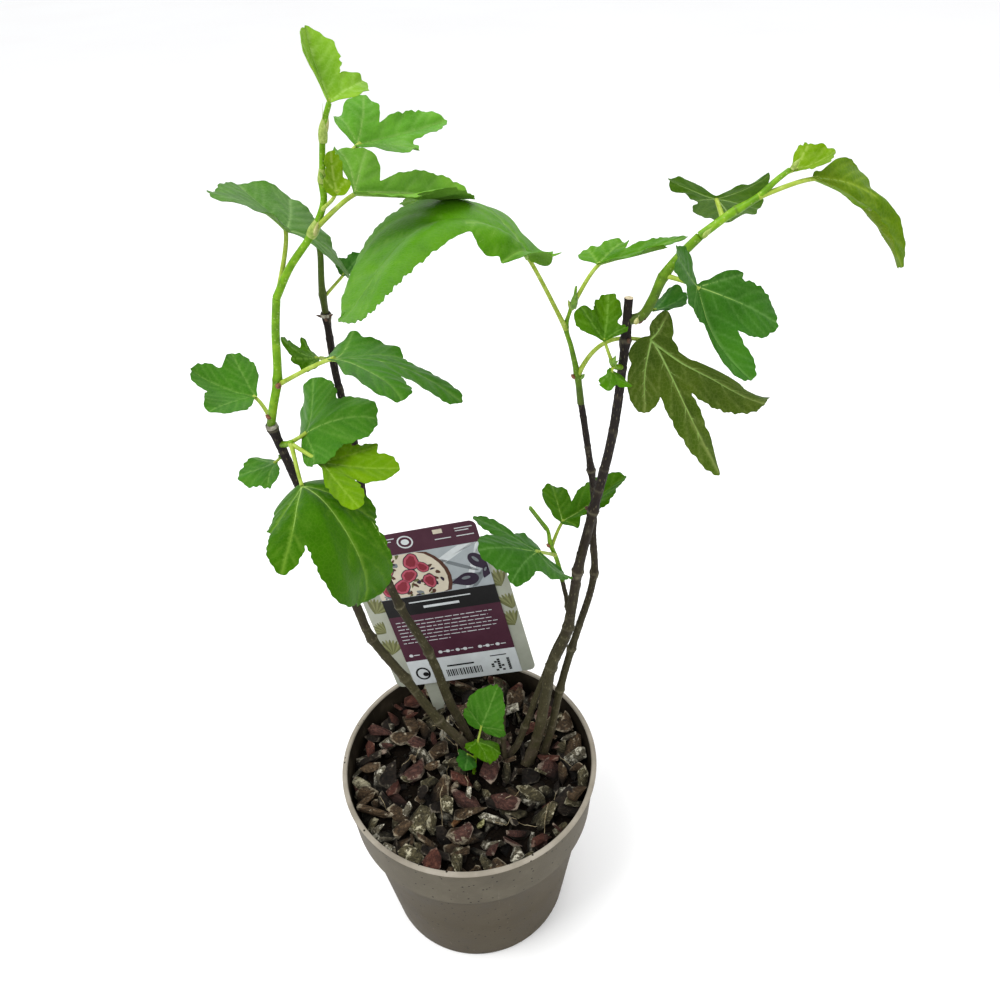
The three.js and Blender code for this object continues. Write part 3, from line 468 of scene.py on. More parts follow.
# ---- Green shoots and leaf stalks -------------------------------------------------------------------------
# This year's growth: soft green shoots grown on from the canes, ringed at each node, with a long pale stalk
# to every leaf. Shoots start at the canes or at each other, and each stalk at its leaf's node on the shoot.
stalk_radius, shoot_sides = 1.25, 20

# A shoot starts at the limb that it grows on: at its tip, or on that side of it at that height. A leaf has
# the height of its node on the shoot, its tone, the foot of its blade, where its midrib faces (heading, pitch
# and roll), how its blade is bent (arch, fold, curl and twist), the radius of its round body, and for each
# lobe its direction, length, half width and lift. Angles are in degrees.
shoots = {
    "left_lower_shoot": dict(
        on="left_front_stem",
        path=[(-87, -1, 469), (-82, -1, 484), (-77, -3, 513), (-73, -4, 530.7)],
        thick=2.4, thin=2, knots=[484],
        leaves=[
            dict(node=460, tone="mid", base=(-99, 11, 468), facing=(180, 10, 0),
                 bend=(-30, 25, 30, -5), body=3,
                 lobes=[(0, 37, 12, 5), (-50, 31, 10, 5), (55, 33, 13, -5)]),
            dict(node=481, tone="mid", base=(-48, -20, 505), facing=(5, 0, -20),
                 bend=(45, -5, 20, 15), body=6,
                 lobes=[(0, 69, 11, -5), (25, 38, 14, 5), (-40, 51, 14, 0), (70, 27, 9, 25)]),
        ],
    ),
    "left_upper_shoot": dict(
        on="left_lower_shoot",
        path=[(-64, -4, 545), (-50, -5, 562), (-43, -5, 575), (-42, -5, 584), (-38, -5, 607),
              (-34, -4, 617)],
        thick=2, thin=1.2, knots=[562, 584],
        leaves=[
            dict(node=533, tone="bluish", base=(-64, 5, 560), facing=(130, 15, 35),
                 bend=(5, 20, 40, -25), body=29,
                 lobes=[(0, 43, 21, 5), (40, 39, 13, 0), (-115, 38, 11, -5), (-35, 35, 15, 0)]),
            # This leaf's pale tone is lifted as painted light, against the shade it lies in.
            dict(node=563, tone="pale", base=(-27, -11, 581), facing=(45, -20, 30),
                 bend=(-5, 40, 20, 0), body=6,
                 lobes=[(0, 69, 13, 0), (65, 21, 10, 5), (95, 25, 7, -20), (-30, 29, 6, 5)]),
            dict(node=572, tone="spring", base=(-34, -18, 583), facing=(112, 60, 12),
                 bend=(-5, 20, 10, 5), body=5, small=True,
                 lobes=[(0, 17, 4.6, 10), (-50, 8, 3, 0), (40, 8, 4, 5)]),
            dict(node=582, tone="cool", base=(-28, 21, 593), facing=(40, 0, 25),
                 bend=(5, 30, 25, 0), body=11,
                 lobes=[(0, 51, 10, 5), (55, 29, 9, 0), (-40, 29, 11, -8), (90, 19, 6, -15)]),
            dict(node=612, tone="tender", base=(-34, -4, 617), facing=(115, 40, 20),
                 bend=(-30, 35, 20, 10), body=3, small=True,
                 lobes=[(0, 33, 10, -5), (-65, 22, 7, -10), (20, 26, 4, -5)]),
        ],
    ),
    "left_side_spray": dict(
        on="left_front_stem", height=443, side=(0.85, -0.52, 0),
        path=[(-84, -2, 445), (-80, -5, 448)],
        thick=1.9, thin=1.6, knots=[],
        leaves=[
            dict(node=446, tone="mid", base=(-74, 1, 449), facing=(10, 45, 10),
                 bend=(65, -15, -10, 15), body=27,
                 lobes=[(-10, 45, 16, 0), (65, 38, 16, 10), (-95, 23, 8, 5)]),
            dict(node=446.5, tone="moss", base=(-64, -16, 442), facing=(5, -20, 5),
                 bend=(-10, 10, 35, 10), body=6,
                 lobes=[(-4, 42, 10, 5), (22, 32, 6, 8), (62, 24, 8, 10), (-55, 38, 8.5, 5)]),
            dict(node=447, tone="deep", base=(-75, -23, 432), facing=(-65, 20, 10),
                 bend=(60, -20, 10, -15), body=22,
                 lobes=[(13, 86, 21, -30), (-1, 82, 13, 0), (-31, 62, 11, -5), (-52, 36, 8, 5),
                        (45, 42, 13, -15)]),
        ],
    ),
    "left_small_spray": dict(
        on="left_front_stem", height=428, side=(-0.5, 0.85, 0),
        path=[(-91, 7.5, 429.5), (-93.5, 9, 430.6)],
        thick=1.2, thin=1, knots=[],
        leaves=[
            dict(node=430, tone="mid", base=(-96, 11, 425), facing=(195, -20, 15),
                 bend=(15, -5, 30, -15), body=3, small=True,
                 lobes=[(-10, 23, 12, 10), (-50, 21, 4, 20), (55, 18, 8, -5)]),
        ],
    ),
    "left_rear_tip_spray": dict(
        on="left_rear_stem",
        path=[(-57, 28, 522), (-55, 28, 539), (-55, 28, 546)],
        thick=1.9, thin=1.5, knots=[517],
        leaves=[
            dict(node=515, tone="dark", base=(-45, 30, 527), facing=(50, 25, 0),
                 bend=(0, 20, 15, 0), body=4, small=True,
                 lobes=[(0, 16, 5, 0), (45, 11, 3.5, 5), (-45, 11, 3.5, 5)]),
        ],
    ),
    "left_rear_bud_spray": dict(
        on="left_rear_stem", height=479, side=(-0.2, -1, 0.3),
        path=[(-60, 22, 483), (-62, 16, 487)],
        thick=1.3, thin=1.1, knots=[],
        leaves=[
            dict(node=485, tone="bright", base=(-62, 12, 489), facing=(185, 15, 5),
                 bend=(-15, -5, 5, -5), body=3, small=True,
                 lobes=[(0, 22, 4, 15), (-45, 14, 4, 25), (25, 15, 3.5, 0), (60, 11, 5, -20)]),
        ],
    ),
    "right_lower_shoot": dict(
        on="right_main_stem", height=509, side=(1, 0, 0),
        path=[(106, 0, 511), (110.5, 0, 519), (115, 0, 531), (122, 0, 541), (130.6, -1.8, 551.6)],
        thick=2.6, thin=2.2, knots=[531],
        leaves=[
            dict(node=515, tone="dark", base=(113, 8, 510), facing=(5, 5, -10),
                 bend=(-5, 10, 20, 0), body=5, small=True,
                 lobes=[(0, 18, 8, 10), (35, 15, 5, 25)]),
            dict(node=532, tone="shaded", base=(130, -11, 530), facing=(-50, -65, 0),
                 bend=(-30, 20, -5, 0), body=7,
                 lobes=[(0, 53, 11, 5), (50, 52, 14, -10), (85, 27, 4, -5), (-135, 32, 8, 0),
                        (-60, 19, 11, 5)]),
        ],
    ),
    "right_upper_shoot": dict(
        on="right_lower_shoot",
        path=[(143, -2, 561), (155, -3, 569), (162, -3, 576), (168, -3, 581)],
        thick=2.2, thin=1.2, knots=[563],
        leaves=[
            dict(node=559, tone="deep", base=(140, 14, 564), facing=(70, -35, 0),
                 bend=(-5, 5, 0, -10), body=15,
                 lobes=[(-10, 35, 16, -5), (-55, 24, 10, -5), (45, 15, 10, 0), (-110, 24, 8, 20),
                        (105, 24, 9, 5)]),
            dict(node=579, tone="spring", base=(170, -2, 580), facing=(-5, 15, 15),
                 bend=(-15, 20, 0, -5), body=4, small=True,
                 lobes=[(-5, 18, 8, 5), (45, 13, 5, 10)]),
            # This leaf's tone is painted sunlight.
            dict(node=569, tone="golden", base=(179, -4, 577), facing=(0, -25, 15),
                 bend=(65, 25, 25, 10), body=4,
                 lobes=[(5, 60, 11, 0), (20, 34, 13, 10), (-20, 27, 9, 10)]),
        ],
    ),
    "right_spur_spray": dict(
        on="right_main_stem", height=483, side=(-0.6, -0.8, 0.2),
        path=[(92.5, -7, 487), (90, -10, 492)],
        thick=1.6, thin=1.3, knots=[],
        leaves=[
            dict(node=490, tone="bright", base=(86, -11, 504), facing=(85, 10, 0),
                 bend=(-10, 30, 25, 5), body=4, small=True,
                 lobes=[(-5, 29, 8, 10), (45, 19, 9, 15), (-60, 14, 5, -5)]),
            dict(node=487, tone="fresh", base=(90, -12, 488), facing=(-70, -50, -55),
                 bend=(15, 0, 10, 10), body=4, small=True,
                 lobes=[(-10, 11, 4, -10), (55, 14, 4, 25), (-45, 9, 4, -30)]),
        ],
    ),
    "right_rear_shoot": dict(
        on="right_rear_stem",
        path=[(77, 22, 465), (73, 22, 484), (70, 22, 496), (72, 22, 505), (74, 22, 511), (75, 22, 519)],
        thick=2.1, thin=0.7, knots=[467, 496, 509],
        leaves=[
            dict(node=495, tone="fresh", base=(50, 9, 540), facing=(170, 54, 26),
                 bend=(90, 28, 58, 63), body=21,
                 lobes=[(2, 131, 24, -10), (-42, 84, 20, 5), (17, 41, 12, -13), (56, 23, 13, -44),
                        (-148, 10, 1, 57)]),
            dict(node=508, tone="fresh", base=(86, 23, 530), facing=(0, 15, -5), bend=(5, 20, 5, 0), body=3,
                 lobes=[(5, 47, 7, 0), (50, 25, 7, -10), (100, 18, 7, -5), (-25, 37, 7, 0)]),
            # This leaf's dark olive tone is partly painted shade on its underside.
            dict(node=466, tone="olive", base=(114, 13, 492), via=(88, 17, 500), facing=(30, -55, -50),
                 bend=(-10, -30, 40, -15), body=16,
                 lobes=[(6, 74, 9.5, -30), (-30, 89, 18, 10), (40, 40, 11.5, -5), (-125, 22, 7, 30)]),
        ],
    ),
    "right_inner_spray": dict(
        on="right_inner_stem",
        path=[(66, 20, 334), (62, 20, 347), (60, 20, 359), (56, 20, 366), (49, 20, 378)],
        thick=1.7, thin=1, knots=[347],
        leaves=[
            dict(node=345, tone="deep", base=(70, 27, 360), facing=(35, 0, 0),
                 bend=(-25, 25, 10, -20), body=12,
                 lobes=[(0, 54, 14, 0), (65, 29, 10, 0), (-65, 10, 7, -25)]),
            dict(node=338, tone="shaded", base=(53, 4, 355), facing=(205, 35, -5),
                 bend=(30, -5, 0, -5), body=19,
                 lobes=[(5, 45, 13, 10), (-40, 45, 7, 5), (38, 36, 8, -10), (105, 28, 12, 10)]),
        ],
    ),
    "basal_sucker": dict(
        path=[(2, -1, stem_foot), (3, 1, 145), (5, 6, 162)],
        thick=1.7, thin=1.2, knots=[],
        leaves=[
            dict(node=160, tone="mid", base=(10, 10, 180), facing=(50, 80, 10),
                 bend=(0, -5, 0, 0), body=15, small=True,
                 lobes=[(-5, 29, 16, -30), (50, 18, 10, 0), (-70, 21, 8, 5)]),
            dict(node=158, tone="bright", base=(6, 6, 168), facing=(-10, 0, -20),
                 bend=(25, -15, 15, 0), body=9, small=True,
                 lobes=[(0, 20, 11, -10), (-40, 16, 8, -15), (-130, 10, 8, 0)]),
            dict(node=152, tone="dark", base=(-2, 4, 157), facing=(-80, 20, -40),
                 bend=(10, -5, 10, 15), body=8, small=True,
                 lobes=[(-5, 16, 8, -15)]),
        ],
    ),
}


def young_stem(name, tone, dark, light, pores):
    """Green fig shoot: a soft waxy skin, satin, faintly clouded every 6 mm and dotted with pale pores."""
    made, tree, shader = finish(name, Roughness=.42, IOR=1.42, Specular_IOR_Level=.22)
    where = add_node(tree, "TexCoord", {}, out="Object")
    clouds = add_node(tree, "TexNoise", {"Vector": where, "Scale": 180, "Detail": 5, "Roughness": .6})
    colour = add_node(tree, "ValToRGB", {"Fac": clouds}, stops=[(.28, dark), (.75, light), (.5, tone)])
    # Pores of about 0.8 mm, 2 mm apart. Skin darkens to brown where it ripens to wood.
    dots = add_node(tree, "TexVoronoi", {"Vector": where, "Scale": 480})
    dot = add_node(tree, "MapRange", {"Value": dots, "From Min": .1, "From Max": .24,
                                      "To Min": .5, "To Max": 0})
    brown = add_node(tree, "Attribute", {}, out="Fac", attribute_name="woody")
    for mask, over in ((dot, pores), (brown, "#2f2a14")):
        colour = add_node(tree, "MixRGB", {"Fac": mask, "Color1": colour, "Color2": over})
    bump = add_node(tree, "Bump", {"Height": clouds, "Strength": .2, "Distance": .0005})
    return wired(made, shader, Base_Color=colour, Normal=bump)


shoot_skin = young_stem("green_shoot_skin", "#64920e", "#4a7208", "#86ab26", "#a9bb70")
stalk_skin = young_stem("leaf_stalk_skin", "#95aa3c", "#7c9328", "#aec060", "#bccb84")
limbs = dict(stems)
routes = dict(stem_routes)
for shoot, limb in shoots.items():
    path = limb["path"]
    if "on" in limb:
        parent, parent_route = limbs[limb["on"]], routes[limb["on"]]
        whole = parent_route[1][-1]
        if "side" in limb:
            distance = distance_at(parent_route, limb["height"])
            axis = np.array(limb["side"], float) / np.linalg.norm(limb["side"])
            out = limb_radius(parent, parent_route, distance) / math.hypot(axis[0], axis[1])
            # A side shoot is rooted inside its cane, so that no gap shows at its collar.
            start = point_on(parent_route, distance) + axis * (out - 1.2)
        else:
            axis = point_on(parent_route, whole) - point_on(parent_route, whole - 1)
            start = point_on(parent_route, whole) - axis * .4
        path = [tuple(start), *path]
    limbs[shoot], routes[shoot] = limb, smooth_route(path)


def soft_limb(limb, route, woody_foot):
    """A green shoot, a little flattened at random, with a raised ring and a darker band at each node."""
    length = route[1][-1]
    distance = np.linspace(0, length, max(8, int(length / .9)))
    radius = limb_radius(limb, route, distance)
    woody = woody_foot[0] * np.exp(-distance / woody_foot[1])
    for ring in (distance_at(route, knot) for knot in limb["knots"]):
        off = distance - ring
        radius = radius + .22 * np.exp(-(off / .7) ** 2) - .35 * np.exp(-(off / 4) ** 2)
        woody = np.maximum(woody, .45 * np.exp(-(off / .6) ** 2))
    tip = np.clip((length - distance) / 1.2, 0, 1)
    radius = radius * (.35 + .65 * np.sqrt(tip * (2 - tip)))
    return dict(swept(point_on(route, distance), radius[:, None], shoot_sides),
                values={"woody": np.append(np.repeat(woody, shoot_sides), [woody[0], 0])})


# How brown each shoot is at its foot, and over what length that fades. The rear tip is woody nearly all over.
ripe = {"left_rear_tip_spray": (.92, 90), "right_rear_shoot": (.8, 26), "right_inner_spray": (.7, 12),
        "left_lower_shoot": (.5, 7), "right_lower_shoot": (.8, 34)}
shoot_shapes = [soft_limb(limbs[shoot], routes[shoot],
                          ripe.get(shoot, (0 if shoots[shoot].get("on") in shoots else .6, 4)))
                for shoot in shoots]
joined("green_shoots", shoot_shapes, [shoot_skin])


# ---- Leaves -----------------------------------------------------------------------------------------------
# Fig leaves, each grown in one piece: a thin, slightly leathery blade with one to five round-ended lobes and
# a blunt-toothed margin, puckered between its veins, and pale ribs that stand out most on the underside.
blade_thickness, margin_step, tooth_pitch, notch_pitch, vein_step = .44, .95, 10.5, 4.6, .9
finest_mesh, mesh_cells = 1.15, 1500
# Where along its length a lobe's oval is widest, how much of the blade is left behind its stalk, and how far
# to its sides, in radians, a lobe's lift reaches.
lobe_centre, sinus_depth, lobe_spread = .6, .1, .42


def ramped(value, low, high):
    """0 below the low value, 1 above the high one, and eased between them."""
    share = np.clip((value - low) / (high - low), 0, 1)
    return share * share * (3 - 2 * share)


def wrapped(angle):
    """The same angle between minus and plus half a turn."""
    return (angle + math.pi) % math.tau - math.pi


def edge_reach(leaf, angle):
    """How far the blade reaches from its stalk in each direction: a round body, and an oval for each lobe."""
    off_tip = np.degrees(np.abs(wrapped(angle)))
    behind = np.clip((off_tip - 150) / 30, 0, 1) ** 2
    reach = leaf["body"] * (1 - (1 - sinus_depth) * ramped(off_tip, 75, 175))
    for middle, longest, half, _ in leaf["lobes"]:
        off = wrapped(angle - math.radians(middle))
        along, middle_at = (1 - lobe_centre) * longest, lobe_centre * longest
        a = (np.cos(off) / along) ** 2 + (np.sin(off) / half) ** 2
        b = -2 * middle_at * np.cos(off) / along ** 2
        root = b * b - 4 * a * ((middle_at / along) ** 2 - 1)
        out = np.where((root > 0) & (np.cos(off) > 0), (-b + np.sqrt(np.maximum(root, 0))) / (2 * a), 0)
        reach = np.maximum(reach, out * (1 - (1 - sinus_depth * leaf["body"] / longest) * behind))
    return reach


def blade_places(leaf, flat):
    """Where places on the flat blade lie once it is bent."""
    u, v = flat[:, 0], flat[:, 1]
    longest = leaf["lobes"][0][1]
    heading, pitch, roll = (math.radians(angle) for angle in leaf["facing"])
    arch, rise, curl, twist = (math.radians(angle) for angle in leaf["bend"])
    midrib = np.array([math.cos(pitch) * math.cos(heading), math.cos(pitch) * math.sin(heading),
                       math.sin(pitch)])
    level = np.array([-math.sin(heading), math.cos(heading), 0])
    above = np.cross(midrib, level)
    side = level * math.cos(roll) + above * math.sin(roll)
    up = np.cross(midrib, side)
    arch = (arch or math.radians(.001)) / longest
    arched = arch * u
    run, drop = np.sin(arched) / arch, (1 - np.cos(arched)) / arch
    up_here = up * np.cos(arched)[:, None] + midrib * np.sin(arched)[:, None]
    wring = (twist * u / longest)[:, None]
    side_here = side * np.cos(wring) + up_here * np.sin(wring)
    normal = up_here * np.cos(wring) - side * np.sin(wring)
    curl = (curl or math.radians(.001)) / longest
    slope = rise - curl * np.abs(v)
    out, height = (math.sin(rise) - np.sin(slope)) / curl, (np.cos(slope) - math.cos(rise)) / curl
    for middle, reach, _, lift in leaf["lobes"]:
        off = wrapped(np.arctan2(v, u) - math.radians(middle))
        lifted = math.tan(math.radians(lift)) * (u * u + v * v) / reach
        height = height + np.exp(-(off / lobe_spread) ** 2) * lifted
    return (np.array(leaf["base"], float) + midrib * run[:, None] - up * drop[:, None]
            + side_here * (np.sign(v) * out)[:, None] + normal * height[:, None])


def inside(outline, places):
    """Which places lie inside a closed outline."""
    x, y = places[:, 0][:, None], places[:, 1][:, None]
    x0, y0 = outline[:, 0][None], outline[:, 1][None]
    x1, y1 = np.roll(x0, -1), np.roll(y0, -1)
    crosses = ((y0 > y) != (y1 > y)) & (x < (x1 - x0) * (y - y0) / np.where(y1 == y0, 1e-9, y1 - y0) + x0)
    return crosses.sum(1) % 2 == 1


def nearest(places, others):
    """How far each place is from the nearest of the others."""
    return np.sqrt(((places[:, None] - others[None]) ** 2).sum(-1).min(1))


def toothed_outline(leaf, rng):
    """The margin, about a place a millimetre: the lobes' outline with its corners eased, then blunt teeth."""
    angle = np.linspace(-math.pi, math.pi, 1800, endpoint=False)
    reach = edge_reach(leaf, angle)
    ring = np.stack([reach * np.cos(angle), reach * np.sin(angle)], -1)
    closed = np.vstack([ring, ring[:1]])
    along = np.concatenate([[0], np.cumsum(np.linalg.norm(np.diff(closed, axis=0), axis=1))])
    count = max(48, int(along[-1] / margin_step))
    steps = np.linspace(0, along[-1], count, endpoint=False)
    ring = np.stack([np.interp(steps, along, closed[:, axis]) for axis in (0, 1)], -1)
    for _ in range(3):
        ring = .25 * np.roll(ring, 1, 0) + .5 * ring + .25 * np.roll(ring, -1, 0)
    ahead = normalised(np.roll(ring, -1, 0) - np.roll(ring, 1, 0))
    outward = np.stack([ahead[:, 1], -ahead[:, 0]], -1)
    from_stalk = np.linalg.norm(ring, axis=1)
    longest = max(lobe[1] for lobe in leaf["lobes"])
    free = ramped(from_stalk / longest, .28, .55)
    size = min(1, longest / 55)
    coarse, fine = round(along[-1] / (tooth_pitch * (.5 + .5 * size))), round(along[-1] / notch_pitch)
    phase = steps / along[-1] * math.tau
    wander = 1.3 * np.sin(3 * phase + rng.uniform(0, 6)) + .7 * np.sin(5 * phase + rng.uniform(0, 6))
    teeth = (.95 * (np.abs(np.sin(max(3, coarse) / 2 * phase + wander)) - .5)
             + .26 * np.sin(max(5, fine) * phase + 2 * wander))
    depth = (1.35 if leaf.get("small") else 1) * (.55 + .45 * size)
    return ring + outward * (depth * free * teeth)[:, None]


def leaf_veins(leaf, outline, rng):
    """The ribs as flat lines: one up each lobe, and side veins that curve towards its tip until they come
    near the margin or cross into the next lobe. Each comes with how thick it starts and ends."""
    lobes = leaf["lobes"]
    longest = max(lobe[1] for lobe in lobes)
    size = float(np.clip(longest / 62, .42, 1.15))
    middles = np.radians([lobe[0] for lobe in lobes])
    veins = []
    for (middle, reach, half, _), direction in zip(lobes, middles):
        if any(abs(other[0] - middle) < 15 and other[1] > reach for other in lobes):
            continue
        ahead = np.array([math.cos(direction), math.sin(direction)])
        beside = np.array([-ahead[1], ahead[0]])
        bow = rng.uniform(-.035, .035) * reach
        share = np.linspace(0, .985, max(5, int(reach / 1.3)))
        rib = share[:, None] * reach * ahead + (bow * np.sin(share * math.pi))[:, None] * beside
        keep = inside(outline, rib) | (share < .1)
        rib = rib[:len(rib) if keep.all() else max(4, int(np.argmin(keep)))]
        veins.append((rib, .58 * size * (.72 + .28 * reach / longest) + .12, .12, True))
        spacing = max(5.6, reach / 5.6)
        starts = np.arange(spacing * .8, reach * .93, spacing / 2)
        for number, start in enumerate(starts + rng.uniform(-.12, .12, len(starts)) * spacing):
            hand = 1 if number % 2 else -1
            heading = direction + hand * math.radians(rng.uniform(48, 58) - 16 * start / reach)
            here = np.array([np.interp(start / reach, share[:len(rib)], rib[:, axis]) for axis in (0, 1)])
            line = [here]
            while len(line) < 70:
                heading -= hand * .016
                here = here + vein_step * np.array([math.cos(heading), math.sin(heading)])
                off = [abs(wrapped(math.atan2(here[1], here[0]) - other)) for other in middles]
                if off[int(np.argmin(off))] < abs(wrapped(math.atan2(here[1], here[0]) - direction)) - .02:
                    break
                line.append(here)
            line = np.array(line)
            fits = inside(outline, line)
            line = line[:len(line) if fits.all() else int(np.argmin(fits))]
            if len(line) > 3:
                veins.append((line[:-1], .16 * size + .06, .06, False))
    return veins


def blade_and_veins(leaf, rng, skin):
    """The blade as a closed, puckered sheet, and its ribs as fine tubes set into it."""
    outline = toothed_outline(leaf, rng)
    veins = leaf_veins(leaf, outline, rng)
    ribs = np.vstack([line for line, _, _, main in veins if main])
    minor = np.vstack([line for line, _, _, main in veins if not main] or [ribs])
    x, y = outline.T
    area = abs(np.sum(x * np.roll(y, -1) - y * np.roll(x, -1))) / 2
    pitch = max(finest_mesh, math.sqrt(area / mesh_cells))
    low, high = outline.min(0), outline.max(0)
    x, y = np.meshgrid(np.arange(low[0], high[0], pitch), np.arange(low[1], high[1], pitch * .866))
    x = x + (np.arange(len(y)) % 2 * pitch / 2)[:, None]
    grid = np.stack([x.ravel(), y.ravel()], -1)
    grid = grid[inside(outline, grid)]
    grid = grid[nearest(grid, outline) > pitch * .55]
    grid = grid[nearest(grid, ribs) > pitch * .5]
    ribs_in = ribs[inside(outline, ribs)]
    ribs_in = ribs_in[nearest(ribs_in, outline) > .5]
    spaced = []
    for place in ribs_in:
        if not spaced or np.linalg.norm(np.array(spaced) - place, axis=1).min() > .6:
            spaced.append(place)
    flat = np.vstack([outline, grid, np.array(spaced)])
    ring = list(range(len(outline)))
    made = delaunay_2d_cdt([Vector(place) for place in flat], [], [ring], 1, 1e-5)
    flat = np.array([tuple(place) for place in made[0]])
    triangles = np.array(made[2])
    a, b, c = (flat[triangles[:, i]] for i in range(3))
    clockwise = np.cross(b - a, c - a) < 0
    triangles[clockwise] = triangles[clockwise][:, ::-1]

    to_rib, to_minor, to_margin = nearest(flat, ribs), nearest(flat, minor), nearest(flat, outline)
    longest = max(lobe[1] for lobe in leaf["lobes"])
    size = float(np.clip(longest / 60, .35, 1.1))
    pucker = .6 * size * (ramped(np.minimum(to_rib * .8, to_minor), 0, 3.2) - .5)
    channel = -.45 * size * np.exp(-(to_rib / 1.1) ** 2)
    turn = np.arctan2(flat[:, 1], flat[:, 0])
    out = np.linalg.norm(flat, axis=1) / longest
    waves = (np.sin(turn * rng.integers(9, 13) + rng.uniform(0, 6))
             + .7 * np.sin(turn * rng.integers(15, 22) + 1))
    ruffle = size * waves * np.exp(-to_margin / 4.5) * ramped(out, .2, .5)
    swell = (1.1 * size * np.sin(flat[:, 0] / 13 + rng.uniform(0, 6))
             * np.sin(flat[:, 1] / 11 + rng.uniform(0, 6)))
    relief = pucker + channel + ruffle + swell * ramped(out, .05, .35)

    # Which way is up is read from the bent blade itself, by small steps along it and across it.
    places, step = blade_places(leaf, flat), .05
    along_u = blade_places(leaf, flat + (step, 0)) - blade_places(leaf, flat - (step, 0))
    along_v = blade_places(leaf, flat + (0, step)) - blade_places(leaf, flat - (0, step))
    up = normalised(np.cross(along_u, along_v))
    half = blade_thickness / 2 * (.55 + .45 * ramped(to_margin, 0, 2))
    top, bottom = places + up * (relief + half)[:, None], places + up * (relief - half)[:, None]
    directed = np.vstack([triangles[:, [0, 1]], triangles[:, [1, 2]], triangles[:, [2, 0]]])
    _, first, times = np.unique(np.sort(directed, axis=1), axis=0, return_index=True, return_counts=True)
    rim = directed[first[times == 1]]
    under = len(flat)
    rim_faces = np.stack([rim[:, 0], rim[:, 0] + under, rim[:, 1] + under, rim[:, 1]], -1)
    near_rib = np.exp(-(to_rib / (.6 * size + .15)) ** 2)
    near_vein = np.maximum(near_rib, .45 * np.exp(-(to_minor / .6) ** 2))
    blade = dict(corners=np.vstack([top, bottom]), faces=[triangles, triangles[:, ::-1] + under, rim_faces],
                 skins=[skin, skin + 1, skin],
                 values={"vein": np.tile(near_vein, 2), "margin": np.tile(np.exp(-to_margin / 1.6), 2)})

    tubes = []
    for line, thick, thin, main in veins:
        if len(line) < 3:
            continue
        share = np.linspace(0, 1, len(line))
        index = ((line[:, None] - flat[None]) ** 2).sum(-1).argsort(1)[:, :3]
        weight = 1 / (np.linalg.norm(line[:, None] - flat[index], axis=2) + .15)
        height = (relief[index] * weight).sum(1) / weight.sum(1)
        centre = blade_places(leaf, line)
        way_up = normalised((up[index] * weight[..., None]).sum(1))
        radius = thick + (thin - thick) * share ** .75
        sink = (.24 if main else .2) * (radius / thick)
        centre = centre + way_up * (height + (.02 if main else .1) - sink)[:, None]
        tubes.append(swept(centre, radius[:, None], 8 if main else 6))
    return blade, tubes


def leaf_skin(name, tone, ribs, gloss, net_share):
    """A leaf's upper skin or underside: waxy and satin above, matt and felted below, in patches of slightly
    yellower and bluer green, paler close to the ribs and fresher at the margin."""
    made, tree, shader = finish(name, Roughness=gloss, IOR=1.42, Specular_IOR_Level=.13,
                                Specular_Tint="#dcf074")
    where = add_node(tree, "TexCoord", {}, out="Object")
    red, green, blue, _ = base = linear(tone)
    deep = (red * .7, green * .78, blue * .66, 1)
    fresh = (min(1, red * 1.3), min(1, green * 1.17), blue * 1.05, 1)
    # Patches of about 18 mm, and the fine net between the smallest veins, really 1 mm and drawn at 2 mm.
    patches = add_node(tree, "TexNoise", {"Vector": where, "Scale": 55, "Detail": 4, "Roughness": .55})
    colour = add_node(tree, "ValToRGB", {"Fac": patches}, stops=[(.3, deep), (.74, fresh), (.52, base)])
    net = add_node(tree, "TexVoronoi", {"Vector": where, "Scale": 430, "Randomness": .9},
                   feature="DISTANCE_TO_EDGE")
    line = add_node(tree, "MapRange", {"Value": net, "From Max": .1, "To Min": net_share, "To Max": 0})
    colour = add_node(tree, "MixRGB", {"Fac": line, "Color1": colour, "Color2": ribs})
    for attribute, share, over in (("vein", .44, ribs), ("margin", .22, fresh)):
        near = add_node(tree, "Attribute", {}, out="Fac", attribute_name=attribute)
        near = add_node(tree, "Math", {0: near, 1: share}, operation="MULTIPLY")
        colour = add_node(tree, "MixRGB", {"Fac": near, "Color1": colour, "Color2": over})
    pits = add_node(tree, "TexNoise", {"Vector": where, "Scale": 700, "Detail": 4})
    height = add_node(tree, "Math", {0: pits, 1: net}, operation="ADD")
    bump = add_node(tree, "Bump", {"Height": height, "Strength": .28, "Distance": .0006})
    return wired(made, shader, Base_Color=colour, Normal=bump)


# The leaves' tones, from the spring-green tips to the dark old leaves, each with the colour of the blade and
# that of its veins. The tones also carry painted light and shade, leaf by leaf: moss and the other bright
# yellow-greens partly paint light shining through the blade, pale is lifted against the shade its leaf lies
# in, the sunlit leaf's tone is painted sunlight, and shaded and olive are painted shade.
leaf_tones = {
    "spring": ("#648809", "#a9be5e"), "light": ("#5b8612", "#97b35c"), "fresh": ("#437808", "#84a84c"),
    "bright": ("#396303", "#7aa044"), "mid": ("#386c19", "#7aa04e"), "cool": ("#528a26", "#86a95c"),
    "bluish": ("#3f6b20", "#8aab68"), "moss": ("#5a8206", "#8fac40"), "deep": ("#305e04", "#7a9c38"),
    "dark": ("#295b19", "#68924a"), "shaded": ("#2e6016", "#6d9650"), "olive": ("#2f4a04", "#98a55e"),
    "tender": ("#6a9522", "#a5c46c"), "pale": ("#5f922c", "#93b566"), "golden": ("#4b6c02", "#9fb63e")}
blade_skins = []
